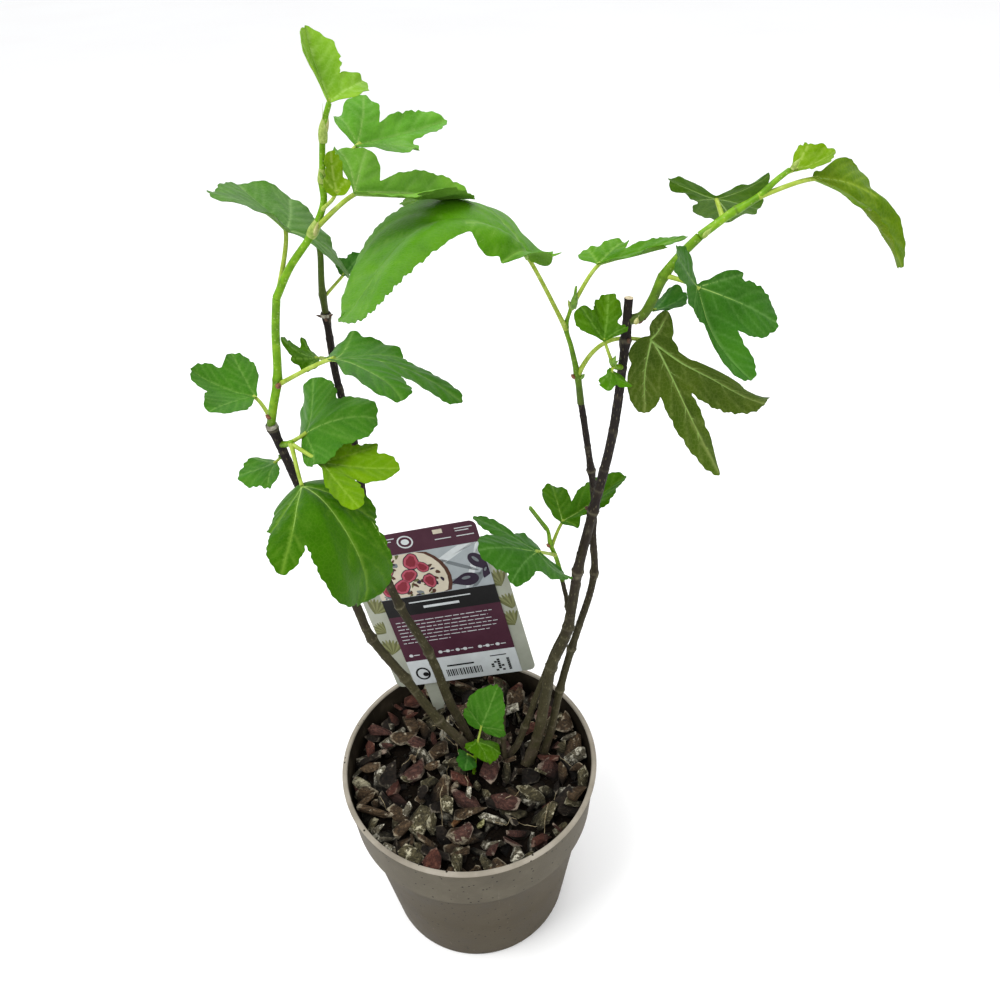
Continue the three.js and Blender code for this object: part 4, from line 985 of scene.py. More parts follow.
for tone, (blade_colour, vein_colour) in leaf_tones.items():
    blade_skins.append(leaf_skin(tone + "_fig_leaf_top", blade_colour, vein_colour, .45, .08))
    # The felt of the underside makes it a little paler and greyer.
    red, green, blue, _ = linear(blade_colour)
    felted = (red * 1.15 + .016, green + .025, blue * 1.1 + .003)
    pale = "#" + "".join(f"{int(255 * min(1, c) ** (1 / 2.2)):02x}" for c in felted)
    blade_skins.append(leaf_skin(tone + "_fig_leaf_underside", pale, vein_colour, .65, .11))
vein_skin = young_stem("leaf_rib_skin", "#86a850", "#74983e", "#9cb868", "#a8c078")


def stalk_line(limb, route, leaf):
    """A leaf stalk's bent line, from its node on the shoot to the foot of the blade."""
    node = point_on(route, distance_at(route, leaf["node"]))
    end = np.array(leaf["base"], float)
    foot, along_midrib = blade_places(leaf, np.array([(0, 0), (1., 0)]))
    ahead = normalised(along_midrib - foot)
    span = np.linalg.norm(end - node)
    start = np.array(leaf["via"], float) if "via" in leaf else node + .4 * (end - node)
    arrival = node + .8 * (end - node) - ahead * .08 * span
    t = np.linspace(0, 1, max(8, int(span / 1.4)))[:, None]
    in_blade = end + ahead * 1.4
    return ((1 - t) ** 3 * node + 3 * t * (1 - t) ** 2 * start + 3 * t * t * (1 - t) * arrival
            + t ** 3 * in_blade)


blades, ribs, stalks = {"left": [], "right": []}, {"left": [], "right": []}, []
tone_names, seed = list(leaf_tones), 0
for shoot, limb in shoots.items():
    for leaf in limb["leaves"]:
        seed += 1
        side = "left" if shoot.startswith("left") else "right"
        skin = 2 * tone_names.index(leaf["tone"])
        blade, tubes = blade_and_veins(leaf, np.random.default_rng(seed), skin)
        blades[side].append(blade)
        ribs[side] += tubes
        line = stalk_line(limb, routes[shoot], leaf)
        share = np.linspace(0, 1, len(line))
        slim = .75 if leaf.get("small") else 1
        radius = (stalk_radius - .25 * share + .5 * np.exp(-share * 14)
                  + .12 * np.exp(-(1 - share) * 12)) * slim
        stalks.append(swept(line, radius[:, None], 12))
# Ribs and stalks are green all over.
for tube in ribs["left"] + ribs["right"] + stalks:
    tube["values"] = {"woody": np.zeros(len(tube["corners"]))}
for side in ("left", "right"):
    masses = [shoot for shoot in shoots if shoot.startswith("left") == (side == "left")]
    joined(side + "_leaf_blades", blades[side], blade_skins, masses)
    joined(side + "_leaf_ribs", ribs[side], [vein_skin])
joined("leaf_stalks", stalks, [stalk_skin])


# ---- Buds, sheaths and scars ------------------------------------------------------------------------------
# What stands at the nodes: the pointed bud at each tip in its pale sheath, papery sleeves left by opened
# leaves, small side buds, and dry scales or a dead stalk where something has dropped.
def plain_skin(name, tone, dark, light, gloss):
    """Bud scale: thin and papery or waxy, in one tone clouded with a lighter and a darker one."""
    made, tree, shader = finish(name, Roughness=gloss, IOR=1.45)
    where = add_node(tree, "TexCoord", {}, out="Object")
    clouds = add_node(tree, "TexNoise", {"Vector": where, "Scale": 600, "Detail": 5, "Roughness": .6})
    colour = add_node(tree, "ValToRGB", {"Fac": clouds}, stops=[(.3, dark), (.72, light), (.5, tone)])
    bump = add_node(tree, "Bump", {"Height": clouds, "Strength": .3, "Distance": .0004})
    return wired(made, shader, Base_Color=colour, Normal=bump)


bud_skins = [plain_skin("pale_bud_sheath", "#8ba044", "#6e852c", "#abb96a", .5),
             plain_skin("green_bud", "#5f8620", "#486c14", "#7a9e38", .45),
             plain_skin("brown_bud_scale", "#4a3020", "#2c1b12", "#6e4c34", .7),
             plain_skin("red_bud", "#71402a", "#4c2a1a", "#94603c", .5),
             plain_skin("papery_sleeve", "#a3a363", "#848545", "#c0c088", .75),
             plain_skin("scar_cork", "#8f8a7c", "#6a6456", "#b8b3a4", .85)]


def bud(foot, tip, thick, skin):
    """A bud or scale, rooted in the skin of the nearest limb: round at its foot and drawn to a point."""
    blunt = .12
    foot, tip = np.array(foot, float), np.array(tip, float)
    gaps = []
    for limb_name, (places, along) in routes.items():
        off = np.linalg.norm(places - foot, axis=1)
        near = int(off.argmin())
        thickness = limb_radius(limbs[limb_name], routes[limb_name], along[near])
        gaps.append((off[near] - thickness, tuple(places[near])))
    beyond, axis = min(gaps)
    shift = normalised(np.array(axis) - foot) * max(0, beyond + .5)
    foot, tip = foot + shift, tip + shift
    share = np.linspace(0, 1, 16)
    bend = np.cross(tip - foot, (0, 0, 1)) * .05
    centres = foot + (tip - foot) * share[:, None] + bend * np.sin(share * math.pi)[:, None]
    belly = np.sin(np.clip(share * 1.15 + .28, 0, 1) * math.pi) ** .8
    radius = thick * (belly * (1 - blunt) + blunt * (1 - share) + .02)
    return swept(centres, radius[:, None], 12, skin)


def sleeve(limb_name, low, high, swell, skin):
    """A thin sleeve or ring close round a limb, between two heights."""
    route = routes[limb_name]
    distance = np.linspace(distance_at(route, low), distance_at(route, high), 10)
    share = np.linspace(-1, 1, 10)
    radius = (limb_radius(limbs[limb_name], route, distance)
              + swell * np.sqrt(np.clip(1.02 - share ** 2, 0, 1)) - .05)
    return swept(point_on(route, distance), radius[:, None], shoot_sides, skin)


bud_shapes = [
    bud((-39, -5.6, 601), (-36.6, -6.2, 617), 2.1, 0), bud((-38, -3.6, 604), (-33.5, -3, 616), 1.5, 4),
    sleeve("left_upper_shoot", 584, 590, .3, 0), bud((-41, -7, 586), (-42.5, -8, 591), .9, 1),
    sleeve("left_upper_shoot", 560, 567, .3, 0), bud((-49, -7, 561), (-44, -9, 571), 1, 4),
    sleeve("left_front_stem", 454.6, 457.6, .35, 5), bud((-90, -2, 462), (-92.5, -4, 466), 1.4, 3),
    bud((-82, -3, 481), (-79, -5, 485.5), 1.5, 3), sleeve("left_rear_stem", 503.6, 505.6, .5, 5),
    bud((-60, 29.5, 504), (-65, 28, 506.5), .7, 2), bud((-56, 29.5, 504), (-51.5, 28.5, 507), .7, 2),
    bud((-58, 29, 502), (-57, 26, 506), .8, 2), bud((132, -4.5, 551), (137, -6, 558), 1.3, 0),
    bud((103, -2.4, 507), (104.5, -4, 512), 1.6, 4), bud((105, -1, 506), (108.5, -3, 508), 1.1, 2),
    bud((109, -2, 507), (110, -4, 511), .9, 2), bud((74, 21, 507), (76, 20, 521), 2, 1),
    bud((75, 22, 505), (71.5, 21, 514), 1.3, 0), bud((90, -11, 488), (92.5, -13, 497), 1.3, 1),
    bud((90.5, -11, 489), (88, -13, 495), 1, 1), bud((91, -10.5, 488), (95, -12, 493), 1, 1),
    bud((168, -4, 581), (172, -5, 588), 1.2, 0), bud((61, 18.5, 346), (58, 16.5, 351), 1.1, 3),
    bud((84, 19, 466), (87, 17, 471), 1.2, 1), bud((73.5, 20.5, 465.5), (70.5, 19, 469.5), 1.2, 3),
    bud((99.5, -2, 498), (100.5, -4.6, 502), 1.2, 2), bud((83, 5, 386), (79.6, 3.4, 389.5), 1.3, 2),
    bud((-54, 28, 421), (-56.5, 25.6, 425), 1.1, 2), bud((-84.4, 3, 409), (-87.4, 1.2, 413), 1.2, 2)]
# The stalk of a fallen leaf, still green, beside the inner spray.
dead_stalk = smooth_route([(59, 20, 359), (55.5, 19, 366), (49, 18, 378)])[0][::2]
bud_shapes.append(swept(dead_stalk, .9, 10, 1))
joined("buds_and_sheaths", bud_shapes, bud_skins)


# ---- Bark mulch -------------------------------------------------------------------------------------------
# A top dressing of composted pine bark nuggets, 10 to 30 mm, tipped on the compost by hand to keep it damp:
# angular, laminated, mostly near black or purple brown, with pale flecked edges, crumbs and root threads.
mulch_bed_top, mulch_top, mulch_reach = 138.5, 152, 89.4
nugget_kinds, crumb_count, thread_count = 16, 620, 16
rng = random.Random(11)


def pine_bark(name, tone, dark, light, flecks, fleck_share):
    """Pine bark nugget: matt and dry, laminated in layers of about 1 mm, with pale flaking edges."""
    made, tree, shader = finish(name, Roughness=.55, IOR=1.45, Specular_IOR_Level=.2)
    where = add_node(tree, "TexCoord", {}, out="Object")
    layered = add_node(tree, "Mapping", {"Vector": where, "Rotation": (.5, .35, .2), "Scale": (1, 1, 3.2)})
    grain = add_node(tree, "TexNoise", {"Vector": layered, "Scale": 330, "Detail": 7, "Roughness": .68,
                                        "Distortion": .4})
    colour = add_node(tree, "ValToRGB", {"Fac": grain}, stops=[(.3, dark), (.72, light), (.5, tone)])
    # Pale chalky flecks: partly the bark's own, partly painted highlights in place of wet gloss.
    chalk = add_node(tree, "TexNoise", {"Vector": where, "Scale": 190, "Detail": 8, "Roughness": .75})
    flecks_and_highlights = add_node(tree, "MapRange", {"Value": chalk, "From Min": fleck_share,
                                        "From Max": fleck_share + .06, "To Max": .95})
    # Weathered edges, where the layers fray and turn pale.
    worn = add_node(tree, "Attribute", {}, out="Fac", attribute_name="edge")
    frayed = add_node(tree, "Math", {0: worn, 1: grain}, operation="MULTIPLY")
    frayed = add_node(tree, "MapRange", {"Value": frayed, "From Min": .32, "From Max": .5, "To Max": .55})
    # Painted shade between the chips: lower in the bed they darken downwards over the last 8 mm.
    level = add_node(tree, "SeparateXYZ", {"Vector": where}, out="Z")
    depth_shade = add_node(tree, "MapRange", {"Value": level, "From Min": .1405, "From Max": .1485,
                                       "To Min": .93, "To Max": 0})
    for mask, over in ((flecks_and_highlights, flecks), (frayed, flecks), (depth_shade, "#0a0806")):
        colour = add_node(tree, "MixRGB", {"Fac": mask, "Color1": colour, "Color2": over})
    height = add_node(tree, "Math", {0: grain, 1: chalk}, operation="ADD")
    bump = add_node(tree, "Bump", {"Height": height, "Strength": .9, "Distance": .0022})
    return wired(made, shader, Base_Color=colour, Normal=bump)


chip_skins = [
    pine_bark("pine_bark_black", "#1d1711", "#080604", "#3a3027", "#958c7a", .62),
    pine_bark("pine_bark_brown", "#423424", "#140d08", "#705b43", "#bdb299", .585),
    pine_bark("pine_bark_purple", "#452c26", "#1a0e0b", "#704e43", "#b9aa96", .61),
    pine_bark("pine_bark_olive", "#48422e", "#16130b", "#787053", "#cbc4a6", .56),
    pine_bark("pine_bark_red", "#4b2a21", "#25140f", "#704738", "#a58b79", .62),
    pine_bark("pine_bark_grey", "#585243", "#1c1911", "#8a8370", "#ded9c5", .53),
    pine_bark("pine_bark_mossy", "#56532c", "#25230f", "#84824a", "#c6c391", .55),
    pine_bark("pine_bark_orange", "#7b5230", "#43290f", "#a67c48", "#c8ab7c", .6)]
# How often each bark is dealt. The last two are kept for one chip each, further down.
chip_shares = [18, 35, 9, 19, 5, 14, 0, 0]

select_only()
bpy.ops.mesh.primitive_circle_add(vertices=96, radius=mulch_reach / 1000, fill_type="NGON",
                                  location=(0, 0, mulch_bed_top / 1000))
bed = bpy.context.object
bed.name = "bark_mulch_bed"
bpy.ops.object.mode_set(mode="EDIT")
for ring in range(22):
    bpy.ops.mesh.inset(thickness=.004)
bpy.ops.mesh.poke()
bpy.ops.mesh.select_all(action="SELECT")
bpy.ops.mesh.subdivide(number_cuts=1)
bpy.ops.mesh.extrude_region_move(TRANSFORM_OT_translate={"value": (0, 0, -.0082)})
bpy.ops.mesh.select_all(action="SELECT")
bpy.ops.mesh.normals_make_consistent(inside=False)
bpy.ops.object.mode_set(mode="OBJECT")
for corner in bed.data.vertices:
    if corner.co.z > (mulch_bed_top - 1) / 1000:
        bump = noise.fractal(corner.co * 90, 1, 2, 4) * .0026 + noise.noise(corner.co * 420) * .0012
        corner.co.z += max(-.004, min(.004, bump))
# The fines are near black, darkened further as painted shade in the gaps between chips.
bed.data.materials.append(damp_compost("bark_fines", "#080605", "#211a13"))
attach(bed, "root")
bpy.ops.object.shade_smooth_by_angle(angle=math.radians(60))


def bark_nugget(rng):
    """One angular nugget about 2 units long: a slab broken off in layers, with its edges stepped."""
    flat = rng.uniform(.14, .36)
    points = []
    for _ in range(rng.randint(11, 15)):
        turn, tilt = rng.uniform(0, math.tau), rng.choice((-1, 1)) * rng.uniform(.35, 1)
        ring = rng.uniform(.72, 1)
        points.append((ring * math.cos(turn), .66 * ring * math.sin(turn), flat * tilt))
    mesh = bpy.data.meshes.new("nugget")
    mesh.from_pydata(points, [], [])
    lump = put("nugget", mesh)
    select_only(lump)
    bpy.ops.object.mode_set(mode="EDIT")
    bpy.ops.mesh.select_all(action="SELECT")
    bpy.ops.mesh.convex_hull()
    bpy.ops.mesh.select_all(action="SELECT")
    bpy.ops.mesh.subdivide(number_cuts=2, smoothness=.1, fractal=.17, seed=rng.randint(1, 99))
    bpy.ops.mesh.quads_convert_to_tris()
    bpy.ops.object.mode_set(mode="OBJECT")
    corners = np.array([tuple(v.co) for v in mesh.vertices])
    # Bark breaks along its layers, so heights gather towards steps.
    step = flat / 2.2
    corners[:, 2] += .5 * (np.round(corners[:, 2] / step) * step - corners[:, 2])
    faces = np.array([tuple(p.vertices) for p in mesh.polygons])
    edge = ramped(np.hypot(corners[:, 0], corners[:, 1] / .66), .62, .92)
    bpy.data.objects.remove(lump)
    return corners, faces, edge


nuggets = [bark_nugget(rng) for _ in range(nugget_kinds)]


def turned(corners, *turns):
    """Corners turned in one plane after another. A turn names its two axes and its angle."""
    corners = np.array(corners, float)
    for (i, j), angle in turns:
        a, b = corners[:, i].copy(), corners[:, j].copy()
        corners[:, i] = a * math.cos(angle) - b * math.sin(angle)
        corners[:, j] = a * math.sin(angle) + b * math.cos(angle)
    return corners


def tossed(corners, tip_x, tip_y, spin):
    return turned(corners, ((1, 2), tip_x), ((2, 0), tip_y), ((0, 1), spin))


# The chips keep clear of the stems, so where each stem stands in the mulch is worked out first.
feet = []
for name, limb in limbs.items():
    if abs(limb["path"][0][2] - stem_foot) < .1:
        for height in (136, 141, 146, 150):
            distance = distance_at(routes[name], height)
            foot = point_on(routes[name], distance)
            feet.append((foot[0], foot[1], limb_radius(limb, routes[name], distance) + .8))

# Three layers of chips, each with how many are wanted, how high it lies and how far apart its chips are.
chips, placed = [], []
for layer, (wanted, height, apart) in enumerate(((80, 139.5, 13), (96, 144, 14), (88, 147.6, 14))):
    tries = made_now = 0
    while made_now < wanted and tries < 6000:
        tries += 1
        reach, turn = mulch_reach * math.sqrt(rng.random()), rng.uniform(0, math.tau)
        x, y = reach * math.cos(turn), reach * math.sin(turn)
        # At the front right the fines show through, with few chips over them.
        fines = math.hypot((x - 33) / 25, (y + 28) / 22) < 1
        if fines and layer and rng.random() < .8:
            continue
        if any(other == layer and math.hypot(x - a, y - b) < apart for a, b, other in placed):
            continue
        corners, faces, edge = rng.choice(nuggets)
        length = rng.uniform(8.5, 15) if rng.random() < .7 else rng.uniform(5, 8)
        lump = tossed(corners * (length, length * rng.uniform(.5, 1.1), length * rng.uniform(.8, 1.3)),
                      rng.gauss(0, .55), rng.gauss(0, .55), rng.uniform(0, math.tau))
        # A chip that would poke through the wall lies against it instead.
        out = np.hypot(lump[:, 0] + x, lump[:, 1] + y).max() - mulch_reach
        if out > 0:
            x, y = x - out * math.cos(turn) * 1.02, y - out * math.sin(turn) * 1.02
        lump = lump + (x, y, height + rng.uniform(-1, 1) + .04 * max(0, reach - 60))
        lump[:, 2] -= max(0, lump[:, 2].max() - mulch_top)
        lump[:, 2] = np.maximum(lump[:, 2], stem_foot + .7)
        if np.hypot(lump[:, 0], lump[:, 1]).max() > mulch_reach + .3:
            continue
        size = float(np.ptp(lump[:, :2], axis=0).min()) / 2
        if any(math.hypot(x - fx, y - fy) < fr + size * .75 for fx, fy, fr in feet):
            continue
        placed.append((x, y, layer))
        made_now += 1
        tone = rng.choices(range(len(chip_skins)), chip_shares)[0]
        # Red bark lies behind the stems on the left.
        if x < -25 and y > 45 and rng.random() < .5:
            tone = 4
        chips.append(dict(corners=lump, faces=[faces], skins=[tone], values={"edge": edge}))
# One orange and one mossy chip lie on top at the front: the highest near each of these places.
for x, y, tone in ((-12, -42, 7), (10, -52, 6)):
    nearness = [math.hypot(*(chip["corners"].mean(0)[:2] - (x, y))) - chip["corners"][:, 2].max() * .6
                for chip in chips]
    chips[int(np.argmin(nearness))]["skins"] = [tone]
chip_piece = joined("bark_chips", chips, chip_skins, ["bark_mulch"])

# Crumbs of bark, eight-sided and up to 5 mm, lie on the bed between the chips.
crumbs = []
while len(crumbs) < crumb_count:
    reach, turn = mulch_reach * math.sqrt(rng.random()), rng.uniform(0, math.tau)
    x, y = reach * math.cos(turn), reach * math.sin(turn)
    size = rng.uniform(.7, 2.6)
    corners = np.array([
        (rng.uniform(.5, 1) * size * sx, rng.uniform(.5, 1) * size * sy, rng.uniform(.4, .9) * size * sz)
        for sx, sy, sz in ((1, 0, 0), (-1, 0, 0), (0, 1, 0), (0, -1, 0), (0, 0, 1), (0, 0, -1))])
    faces = np.array([(0, 2, 4), (2, 1, 4), (1, 3, 4), (3, 0, 4), (2, 0, 5), (1, 2, 5), (3, 1, 5), (0, 3, 5)])
    if math.hypot(x, y) > mulch_reach - 3:
        continue
    corners = tossed(corners, rng.uniform(-1, 1), rng.uniform(-1, 1), rng.uniform(0, 6))
    corners = corners + (x, y, mulch_bed_top + 1 + rng.uniform(-.5, 2))
    skin = rng.choices(range(len(chip_skins)), chip_shares)[0]
    crumbs.append(dict(corners=corners, faces=[faces], skins=[skin],
                       values={"edge": np.full(6, rng.uniform(0, .6))}))
joined("bark_crumbs", crumbs, chip_skins)

# Root and coir threads, dry and pale, lie over the chips.
thread_skin = two_tone("dry_root_fibre", 300, "#8d7a58", "#cbbf9c", low=.35, Roughness=.8)
chip_tree = BVHTree.FromPolygons([v.co * 1000 for v in chip_piece.data.vertices],
                                 [p.vertices for p in chip_piece.data.polygons])
threads = []
while len(threads) < thread_count:
    turn, reach = rng.uniform(0, math.tau), (mulch_reach - 18) * math.sqrt(rng.random())
    place, heading = np.array([reach * math.cos(turn), reach * math.sin(turn)]), rng.uniform(0, math.tau)
    line = []
    for _ in range(rng.randint(10, 22)):
        heading += rng.gauss(0, .22)
        place = place + 1.6 * np.array([math.cos(heading), math.sin(heading)])
        hit = chip_tree.ray_cast(Vector((*place, 170)), Vector((0, 0, -1)))[0]
        line.append((*place, (hit.z if hit else mulch_bed_top) + .25))
    line = np.array(line)
    if np.hypot(line[:, 0], line[:, 1]).max() > mulch_reach - 2:
        continue
    # A thread bridges the gaps between chips instead of dropping into them.
    eased = np.convolve(np.pad(line[:, 2], 2, "edge"), np.ones(5) / 5, "valid")
    line[:, 2] = np.minimum(np.maximum(line[:, 2], eased), mulch_top + .4)
    threads.append(swept(smooth_route(line)[0][::3], .17, 6))
joined("root_threads", threads, [thread_skin])


# ---- Plant label ------------------------------------------------------------------------------------------
# A plant label of two printed polystyrene cards, one in front of the other, the back one wider and drawn out
# below into the tongue that is pushed into the mulch. The print here is a plain design with no words.
card_thickness, card_gap = .8, .3
card_lean, card_spin, card_turn, card_foot = 5.3, 12.7, -5.6, (-43, 62.5, 169)
front_width, front_height, card_corner = 88, 144, 5


def stand_card(places, behind):
    """Card places (across, up, out of its face) in mm, stood up behind the front card's face."""
    spin, lean, turn = (math.radians(angle) for angle in (card_spin, 90 - card_lean, card_turn))
    places = turned(places - (0, 0, behind), ((0, 1), spin), ((1, 2), lean), ((0, 1), turn))
    return (places + card_foot) / 1000


def printed_card(name, tone):
    """Printed polystyrene card: smooth, satin ink with a faint press grain and dust in clouds of 14 mm."""
    made, tree, shader = finish(name, IOR=1.5, Specular_IOR_Level=.2)
    where = add_node(tree, "TexCoord", {}, out="Object")
    cloud = add_node(tree, "TexNoise", {"Vector": where, "Scale": 70, "Detail": 6, "Roughness": .65})
    dim, dusty = ([c * share + dust for c in linear(tone)[:3]] + [1]
                  for share, dust in ((.9, 0), (1.08, .004)))
    colour = add_node(tree, "ValToRGB", {"Fac": cloud}, stops=[(.3, dim), (.7, dusty)])
    bump = add_node(tree, "Bump", {"Height": cloud, "Strength": .12, "Distance": .0008})
    return wired(made, shader, Base_Color=colour, Normal=bump)


inks = {"maroon": "#421d2d", "black": "#0c0b0c", "cloth": "#989fa2", "strip": "#c3c8c9", "rose": "#a84a5a",
        "red": "#7a2230", "cream": "#c4bba8", "plum": "#271a2c", "leaf": "#77794f", "moss": "#5d5f3a",
        "shade": "#6a7174", "card": "#9a9d8f", "wood": "#4a2c20"}
ink_names = list(inks)
card_inks = [printed_card(ink + "_print_on_polystyrene", tone) for ink, tone in inks.items()]


def card_piece(name, left, right, foot, top, rounded_above, cuts):
    """A card: a cube flattened to its size, its corners above that height rounded, and its face cut where the
    inks change."""
    select_only()
    bpy.ops.mesh.primitive_cube_add(size=1)
    card = bpy.context.object
    card.name = name
    bpy.ops.object.mode_set(mode="EDIT")
    bpy.ops.transform.resize(value=((right - left) / 1000, (top - foot) / 1000, card_thickness / 1000))
    bpy.ops.transform.translate(value=((left + right) / 2000, (foot + top) / 2000, -card_thickness / 2000))
    bpy.ops.mesh.select_mode(type="EDGE")
    bpy.ops.mesh.select_all(action="DESELECT")
    bpy.ops.object.mode_set(mode="OBJECT")
    for edge in card.data.edges:
        a, b = (card.data.vertices[i].co for i in edge.vertices)
        edge.select = abs(a.z - b.z) > card_thickness / 2000 and a.y > rounded_above / 1000
    bpy.ops.object.mode_set(mode="EDIT")
    bpy.ops.mesh.bevel(offset=card_corner / 1000, segments=8)
    for height in cuts:
        bpy.ops.mesh.select_all(action="SELECT")
        bpy.ops.mesh.bisect(plane_co=(0, height / 1000, 0), plane_no=(0, 1, 0))
    bpy.ops.object.mode_set(mode="OBJECT")
    for ink in card_inks:
        card.data.materials.append(ink)
    return card


def set_card(card, behind):
    """Stands a flat card, or print on it, in its place and fixes it to the plant."""
    flat = np.array([tuple(v.co * 1000) for v in card.data.vertices])
    card.data.vertices.foreach_set("co", stand_card(flat, behind).astype(np.float32).ravel())
    card.data.update()
    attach(card, "root")


# What is printed on the front card from its foot up: the height at which each ink stops.
zones = [(25, "strip"), (70, "maroon"), (87, "black"), (126, "cloth"), (999, "maroon")]
front_card = card_piece("label_front", 0, front_width, 0, front_height, 70, [top for top, _ in zones[:-1]])
for face in front_card.data.polygons:
    face.material_index = ink_names.index(next(ink for top, ink in zones if face.center.y * 1000 < top))
    if face.normal.z < -.5:
        face.material_index = ink_names.index("card")
set_card(front_card, 0)
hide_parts("label_front_card")

back_left, back_right, back_foot, back_top, tongue_sides = -15, 99, -1, 126, (7, 17)
back_card = card_piece("label_back", back_left, back_right, back_foot, back_top, -9, [])
select_only(back_card)
bpy.ops.object.mode_set(mode="EDIT")
for across in tongue_sides:
    bpy.ops.mesh.select_all(action="SELECT")
    bpy.ops.mesh.bisect(plane_co=(across / 1000, 0, 0), plane_no=(1, 0, 0))
bpy.ops.mesh.select_mode(type="FACE")
bpy.ops.mesh.select_all(action="DESELECT")
bpy.ops.object.mode_set(mode="OBJECT")
for face in back_card.data.polygons:
    face.select = face.normal.y < -.9 and tongue_sides[0] < face.center.x * 1000 < tongue_sides[1]
bpy.ops.object.mode_set(mode="EDIT")
bpy.ops.mesh.extrude_region_move(TRANSFORM_OT_translate={"value": (0, -.030, 0)})
bpy.ops.mesh.extrude_region_move(TRANSFORM_OT_translate={"value": (0, -.006, 0)})
bpy.ops.transform.resize(value=(.35, 1, 1))
bpy.ops.object.mode_set(mode="OBJECT")
for face in back_card.data.polygons:
    face.material_index = ink_names.index("card")
set_card(back_card, card_thickness + card_gap)
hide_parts("label_back_card")


def print_shape(outline, ink, height):
    """A flat printed shape on the card's face, as thin as ink, from its outline in mm."""
    outline = np.array(outline, float)
    count, middle, under = len(outline), outline.mean(0), .005
    corners = np.vstack([np.column_stack([outline, np.full(count, height)]),
                         np.column_stack([outline, np.full(count, under)]),
                         [*middle, height], [*middle, under]])
    i = np.arange(count)
    j = (i + 1) % count
    lid = np.stack([np.full(count, 2 * count), i, j], -1)
    base = np.stack([np.full(count, 2 * count + 1), count + j, count + i], -1)
    wall = np.stack([i, count + i, count + j, j], -1)
    return dict(corners=corners, faces=[lid, base, wall], skins=[ink_names.index(ink)] * 3)


def turned_to(x, y, points, turn):
    """Places round the origin, turned and moved to x, y."""
    return [(x + px * math.cos(turn) - py * math.sin(turn), y + px * math.sin(turn) + py * math.cos(turn))
            for px, py in points]


def oval(x, y, a, b, turn=0, sides=28, wobble=0):
    """An oval with half axes a and b, its edge uneven by the share wobble."""
    points = []
    for t in (math.tau * k / sides for k in range(sides)):
        r = 1 + wobble * math.sin(3 * t + x) + wobble * .6 * math.sin(7 * t + y)
        points.append((a * r * math.cos(t), b * r * math.sin(t)))
    return turned_to(x, y, points, turn)


def bar(x, y, width, height):
    return [(x, y), (x + width, y), (x + width, y + height), (x, y + height)]


def print_in(area, outline, ink, height):
    """Prints a shape as far as it lies in that area: left, right, foot and top."""
    left, right, foot, top = area
    prints.append(print_shape([(min(max(x, left), right), min(max(y, foot), top)) for x, y in outline],
                              ink, height))


# The picture: pale folded cloth, and a round wooden plate with a cream top, crumbs and cut red fruit.
prints = []
rng = random.Random(5)
picture = (.4, front_width - .4, 87.4, 125.6)
for x, y, a, b, turn, ink in (
        (62, 118, 26, 3, .5, "strip"), (76, 104, 20, 2.2, 1.1, "strip"), (62, 95, 20, 2.4, .2, "shade"),
        (80, 96, 14, 2, .9, "shade"), (66, 109, 16, 1.6, -.5, "shade"), (84, 119, 10, 3, 1.2, "strip")):
    print_in(picture, oval(x, y, a, b, turn), ink, .02)
print_in(picture, oval(26, 101, 33, 30), "wood", .03)
print_in(picture, oval(25, 101, 31, 28.5), "cream", .04)
for k in range(110):
    turn, reach = rng.uniform(0, math.tau), 27 * math.sqrt(rng.random())
    x, y = 25 + reach * math.cos(turn), 101 + .9 * reach * math.sin(turn)
    crumb = oval(x, y, rng.uniform(1, 3), rng.uniform(.8, 2.2), rng.uniform(0, 3), 9, .15)
    print_in(picture, crumb, rng.choice(["wood", "plum", "cream", "shade", "moss"]), .045 + k * .0001)
for x, y, r in ((33, 118, 7.5), (28, 106, 7), (20, 97, 7.5), (12, 113, 7), (42, 99, 6.5), (9, 95, 6),
                (40, 112, 5.5)):
    turn = rng.uniform(0, 3)
    for ink, height, wide, high, sides, wobble in (
            ("plum", .07, 1, .8, 26, .04), ("rose", .08, .9, .7, 26, .05), ("red", .09, .66, .48, 22, .1)):
        print_in(picture, oval(x, y, r * wide, r * high, turn, sides, wobble), ink, height)
for x, y, a, turn in ((81, 110, 8, 2.2), (70, 95, 8.5, .1), (86, 100, 5, 1)):
    # A fruit shaped as a drop: an oval drawn out and narrowed towards its stalk.
    drop = []
    for px, py in oval(0, 0, a, a * .68, 0, 26):
        narrow = max(0, -px / a)
        drop.append((px - a * .45 * narrow ** 3, py * (1 - .45 * narrow ** 2)))
    print_in(picture, turned_to(x, y, drop, turn), "plum", .06)
    print_in(picture, oval(x - 1, y + 1.5, a * .4, a * .16, turn), "shade", .065)

# The maroon and black areas carry plain rules and dashes, the foot a round mark, a row of bars and blocks.
for row, (start, stop) in enumerate(((4, 80), (4, 76), (4, 78), (4, 82), (4, 80), (4, 74), (4, 42))):
    x = start
    while x < stop:
        width = rng.uniform(2.5, 7.5)
        prints.append(print_shape(bar(x, 63.8 - row * 3.45, min(width, stop - x), .62), "strip", .03))
        x += width + 1.1
for x, width in ((6, 9), (18, 6), (30, 5), (36, 5), (44, 4), (50, 8), (62, 4), (68, 5), (76, 8)):
    prints += [print_shape(oval(x, 30.5, 1.7, 1.5, 0, 14), "strip", .03),
               print_shape(bar(x + 2.4, 30.1, width * .5, .8), "strip", .03)]
for x, y, width, height, ink in (
        (20, 81, 48, 1, "strip"), (30, 75, 28, 2.2, "strip"), (56, 138, 7, 3.6, "cream"),
        (72, 139.5, 13, .7, "strip"), (72, 137.4, 10, .7, "strip"), (56, 133, 12, .7, "strip"),
        (72, 133, 13, .7, "strip"), (18, 139.5, 9, .7, "strip"), (18, 137.2, 6, .7, "strip")):
    prints.append(print_shape(bar(x, y, width, height), ink, .03))
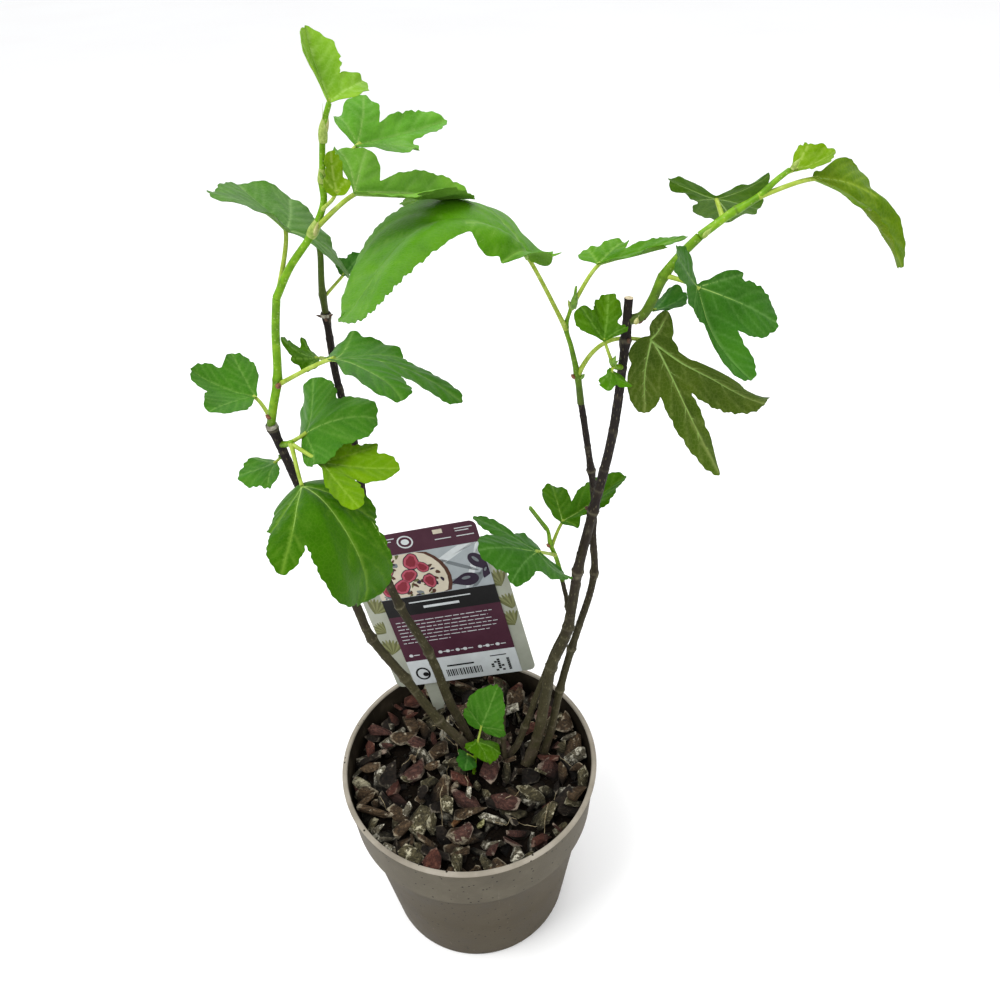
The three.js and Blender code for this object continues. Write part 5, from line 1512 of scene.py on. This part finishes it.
for a, b, ink, height in ((6, 5.4, "strip", .03), (4.9, 4.3, "maroon", .04), (3, 2.4, "strip", .05)):
    prints.append(print_shape(oval(34, 135.5, a, b), ink, height))
x = 29
while x < 58:
    width = rng.uniform(.35, 1.3)
    prints.append(print_shape(bar(x, 4.5, width, 7), "black", .03))
    x += width + rng.uniform(.4, 1.1)
prints.append(print_shape(bar(31, 14.5, 22, 1.6), "black", .03))
for k in range(6):
    for m in range(6):
        if rng.random() < .6:
            prints.append(print_shape(bar(66 + 2.6 * k, 3.5 + 2.1 * m, 2.2, 1.8), "black", .03))
prints.append(print_shape(bar(67, 19, 13, 1), "black", .03))
for x, y, a, b, ink, height in ((10, 11, 6, 6.5, "black", .03), (10, 11, 4.4, 4.9, "strip", .04),
                                (12, 10, 2.4, 2.2, "black", .05)):
    prints.append(print_shape(oval(x, y, a, b), ink, height))
set_card(joined("label_front_print", prints, card_inks), 0)

# The back card carries fans of pale green leaves, seen at its edges.
prints, back_area = [], (back_left + .5, back_right - .5, back_foot + .5, back_top - .6)
for x, y, size, turn in (
        (92, 84, 16, 1.9), (95, 62, 15, 1.5), (93, 46, 15, 2.0), (93, 103, 14, 1.2), (-9, 76, 15, .9),
        (-9, 34, 16, 1.4), (-7, 56, 12, 2.3), (40, 112, 18, 1.3), (70, 108, 16, 2.0), (10, 108, 15, .8)):
    for k in range(9):
        angle, middle = turn + (k - 4) * .2, size * .45
        frond = oval(x + middle * math.cos(angle), y + middle * math.sin(angle), size * .5, size * .085,
                     angle, 14)
        print_in(back_area, frond, "leaf" if k % 2 else "moss", .02 + .002 * k)
set_card(joined("label_back_print", prints, card_inks), card_thickness + card_gap)


# ---- Floor, light and camera ------------------------------------------------------------------------------
# A plain pale floor, a broad soft lamp high at the front left, weaker ones opposite, and an even pale sky.
select_only()
bpy.ops.mesh.primitive_plane_add(size=30)
floor = bpy.context.object
floor.name = "studio_floor"
floor.data.materials.append(two_tone("matt_studio_paper", 1.2, "#fbfaf9", "#fdfdfc", detail=2, Roughness=.9,
                                     Specular_IOR_Level=.2))

sky = bpy.data.worlds.new("pale_studio")
sky.use_nodes = True
sky.node_tree.nodes["Background"].inputs["Color"].default_value = linear("#fafbfd")
sky.node_tree.nodes["Background"].inputs["Strength"].default_value = 1.045
bpy.context.scene.world = sky
bpy.context.scene.view_settings.view_transform = "Standard"
lit_place = Vector((0, 0, .35))
for name, place, watts, size in (("key_lamp", (-.8, -.5, 2.2), 30, .9),
                                 ("fill_lamp", (1.4, -.9, 1.4), 5, 1.4),
                                 ("back_lamp", (.4, 1.5, 1.9), 8, 1.4)):
    lamp = bpy.data.lights.new(name, "AREA")
    lamp.energy, lamp.size = watts, size
    holder = put(name, lamp)
    holder.location = place
    holder.rotation_euler = (lit_place - Vector(place)).to_track_quat("-Z", "Y").to_euler()

# The camera looks down on the pot, and is rolled a little.
tilt, roll, camera_place = math.radians(37.1), math.radians(-2.4), (.031, -.394, .697)
ahead = Vector((0, math.cos(tilt), -math.sin(tilt)))
flat_right = Vector((1, 0, 0))
flat_up = flat_right.cross(ahead)
right = flat_right * math.cos(roll) + flat_up * math.sin(roll)
up = flat_up * math.cos(roll) - flat_right * math.sin(roll)
view = put("camera", bpy.data.cameras.new("camera"))
view.data.lens, view.data.sensor_width = 30.6, 36
view.matrix_world = Matrix([(right[i], up[i], -ahead[i], camera_place[i]) for i in range(3)] + [(0, 0, 0, 1)])
bpy.context.scene.camera = view
